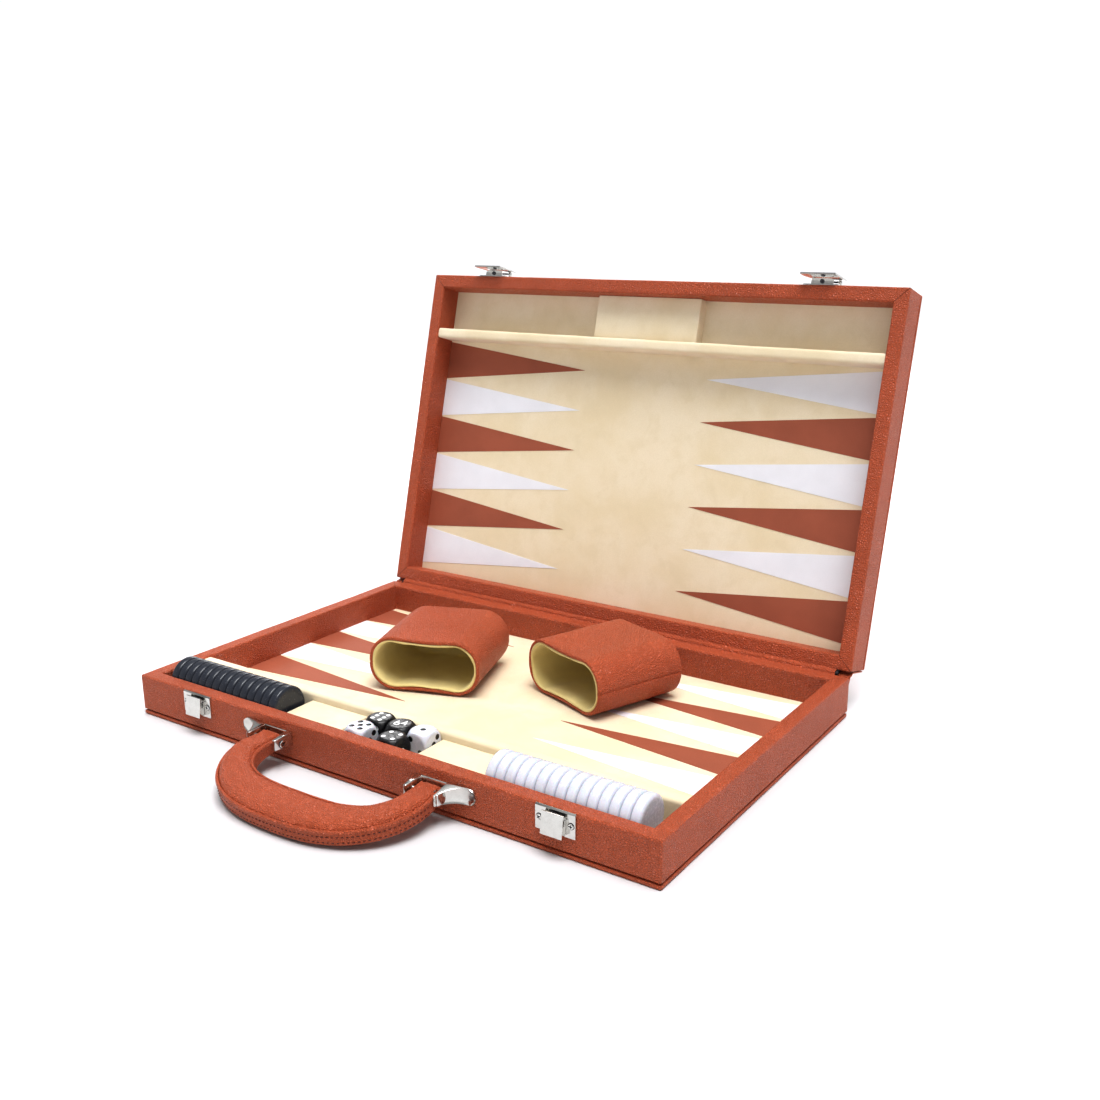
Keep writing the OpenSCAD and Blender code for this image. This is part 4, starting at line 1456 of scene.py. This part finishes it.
def build_spine():
    """One strip of leather over both back walls, folded round the hinge."""
    base_low, base_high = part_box("spine_base")
    lap_y = CASE_HIGH.y + SPINE_LAP
    lid_low, lid_high = closed_box("spine_lid")
    base_path = [Vector((0, lap_y, z)) for z in between(base_low.z, base_high.z - 1 * MM, 10)]
    lid_path = [LID_TURN @ Vector((0, lap_y, z))
                for z in between(lid_high.z, lid_low.z + 1 * MM, 10)]
    clear = 1.75 * MM
    first, last = base_path[-1], lid_path[-1]
    start = math.atan2(first.z - HINGE_AT.z, first.y - HINGE_AT.y)
    finish = math.atan2(last.z - HINGE_AT.z, last.y - HINGE_AT.y)
    fold = []
    steps = 12
    pin = Vector((0, HINGE_AT.y, HINGE_AT.z))
    r0, r1 = (first - pin).length, (last - pin).length
    for k in range(1, steps):
        t = k / steps
        angle = start + (finish - start) * t
        radius = clear + (r0 - clear) * max(0.0, 1 - 2.2 * t) ** 2 \
            + (r1 - clear) * max(0.0, 2.2 * t - 1.2) ** 2
        fold.append(Vector((0, HINGE_AT.y + radius * math.cos(angle),
                            HINGE_AT.z + radius * math.sin(angle))))
    path = base_path + fold + list(reversed(lid_path))
    bm = bmesh.new()
    inset = 0.5 * MM
    count = 90
    places = [CASE_LOW.x + inset + (CASE_W - 2 * inset) * i / count for i in range(count + 1)]
    leather_strip(bm, path, places, Vector(), SPINE_T / 2, -SPINE_T / 2)
    piece = add_piece("hinge_leather", bm, "leather", None, smooth_angle=70.0)
    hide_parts("spine_base", "spine_lid")
    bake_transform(piece)
    return piece


GUSSET_R = 1.95 * MM
GUSSET_T = 0.35 * MM
GUSSET_REACH = 4.4 * MM


def build_gusset():
    """The leather that covers the hinge inside, tucked under the covering of both rims."""
    tuck = HINGE_AT.z - RIM_Z + 0.25 * MM
    base_edge = Vector((0, -2.35 * MM, -tuck + 0.3 * MM))
    base_path = [Vector((0, -GUSSET_REACH, -tuck)), Vector((0, -GUSSET_REACH * 0.8, -tuck)),
                 base_edge]
    turn = Matrix.Rotation(LID_OPEN, 4, Vector(HINGE["axis"]))
    lid_path = [turn @ Vector((0, point.y, 0.22 * MM if point is not base_edge else -0.05 * MM))
                for point in base_path]
    first = math.atan2(base_path[-1].z, base_path[-1].y) % (2 * math.pi)
    last = math.atan2(lid_path[-1].z, lid_path[-1].y) % (2 * math.pi)
    fold = []
    for k in range(1, 10):
        angle = first + (last - first) * k / 10
        fold.append(Vector((0, GUSSET_R * math.cos(angle), GUSSET_R * math.sin(angle))))
    path = base_path + fold + list(reversed(lid_path))
    at = Vector((0, HINGE_AT.y, HINGE_AT.z))
    bm = bmesh.new()
    count = 110
    reach = CASE_W / 2 - WALL
    middle = (CASE_LOW.x + CASE_HIGH.x) / 2
    places = [middle - reach + 2 * reach * i / count for i in range(count + 1)]
    leather_strip(bm, path, places, at, 0.0, GUSSET_T)
    roughen(bm, 0.05 * MM, 6 * MM, seed=3.0)
    piece = add_piece("hinge_gusset", bm, "leather", None, smooth_angle=70.0)
    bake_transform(piece)
    return piece


# ------------------------------------------------------------------ camera, floor and light

CAMERA_AT = (0.423636, -0.557129, 0.305761)
CAMERA_AZIMUTH = 34.208
CAMERA_ELEVATION = 15.676
CAMERA_ROLL = -0.329
CAMERA_LENS = 38.517


def build_camera():
    azimuth, elevation, roll = (math.radians(value) for value in
                                (CAMERA_AZIMUTH, CAMERA_ELEVATION, CAMERA_ROLL))
    back = Vector((math.sin(azimuth) * math.cos(elevation),
                   -math.cos(azimuth) * math.cos(elevation), math.sin(elevation)))
    right = (-back).cross(Vector((0, 0, 1))).normalized()
    up = right.cross(-back)
    right, up = (right * math.cos(roll) + up * math.sin(roll),
                 up * math.cos(roll) - right * math.sin(roll))
    data = bpy.data.cameras.new("camera")
    data.lens = CAMERA_LENS
    data.sensor_width = 36.0
    data.clip_start = 0.01
    camera = add_object("camera", data)
    camera.matrix_world = (Matrix.Translation(Vector(CAMERA_AT))
                           @ Matrix((right, up, back)).transposed().to_4x4())
    bpy.context.scene.camera = camera


FLOOR_HALF = 12.0
FLOOR_AT = -0.2 * MM
FLOOR_TONES = ((0.66, 0.665, 0.68), (0.68, 0.685, 0.70))


def build_floor():
    bm = bmesh.new()
    corners = [bm.verts.new((x * FLOOR_HALF, y * FLOOR_HALF, FLOOR_AT)) for x, y in
               ((-1, -1), (1, -1), (1, 1), (-1, 1))]
    bm.faces.new(corners)
    mesh = bpy.data.meshes.new("floor")
    bm.to_mesh(mesh)
    bm.free()
    floor = add_object("floor", mesh)
    s = Shader("paper_white")
    s.drive("Base Color", s.mix(s.noise(3.0), *FLOOR_TONES))
    s.put(Roughness=0.6, Specular_IOR_Level=0.15)
    mesh.materials.append(s.material)


def area_light(name, place, target, size, power):
    data = bpy.data.lights.new(name, "AREA")
    data.shape = "RECTANGLE"
    data.size, data.size_y = size
    data.energy = power
    light = add_object(name, data)
    light.location = place
    direction = Vector(target) - Vector(place)
    light.rotation_euler = direction.to_track_quat("-Z", "Y").to_euler()


# (height from nadir to zenith, level)
SKY = ((0.0, 1.03), (0.585, 1.03), (0.63, 0.50), (0.74, 0.45), (0.80, 0.22), (0.93, 0.9), (1.0, 1.2))


def build_sky():
    """A bright backdrop all round, a dim room above it and a soft box overhead."""
    world = bpy.data.worlds.new("studio")
    bpy.context.scene.world = world
    world.use_nodes = True
    tree = world.node_tree
    background = tree.nodes["Background"]
    place = tree.nodes.new("ShaderNodeTexCoord")
    split = tree.nodes.new("ShaderNodeSeparateXYZ")
    height = tree.nodes.new("ShaderNodeMapRange")
    height.inputs["From Min"].default_value = -1.0
    ramp = tree.nodes.new("ShaderNodeValToRGB")
    stops = ramp.color_ramp.elements
    while len(stops) < len(SKY):
        stops.new(0.5)
    for stop, (at, level) in zip(stops, SKY):
        stop.position = at
        stop.color = (level, level, level * 1.01, 1.0)
    tree.links.new(place.outputs["Generated"], split.inputs["Vector"])
    tree.links.new(split.outputs["Z"], height.inputs["Value"])
    tree.links.new(height.outputs["Result"], ramp.inputs["Fac"])
    tree.links.new(ramp.outputs["Color"], background.inputs["Color"])


SUN_FROM = Vector((0.21, -0.14, 0.967))
SUN_POWER = 3.25
SUN_SPREAD = math.radians(38)


def build_light():
    build_sky()
    data = bpy.data.lights.new("key", "SUN")
    data.energy = SUN_POWER
    data.angle = SUN_SPREAD
    key = add_object("key", data)
    key.rotation_euler = SUN_FROM.to_track_quat("Z", "Y").to_euler()
    area_light("box_back", (-0.55, 1.5, 1.0), (0.0, 0.0, 0.05), (1.8, 0.6), 20.0)
    view = bpy.context.scene.view_settings
    view.view_transform = "Standard"
    view.gamma = 0.80


build_camera()
build_floor()
build_light()
build_case()
build_suede()
build_flats()
build_metal()
build_men()
build_dice()
build_cups()
build_handle()
build_spine()
build_gusset()
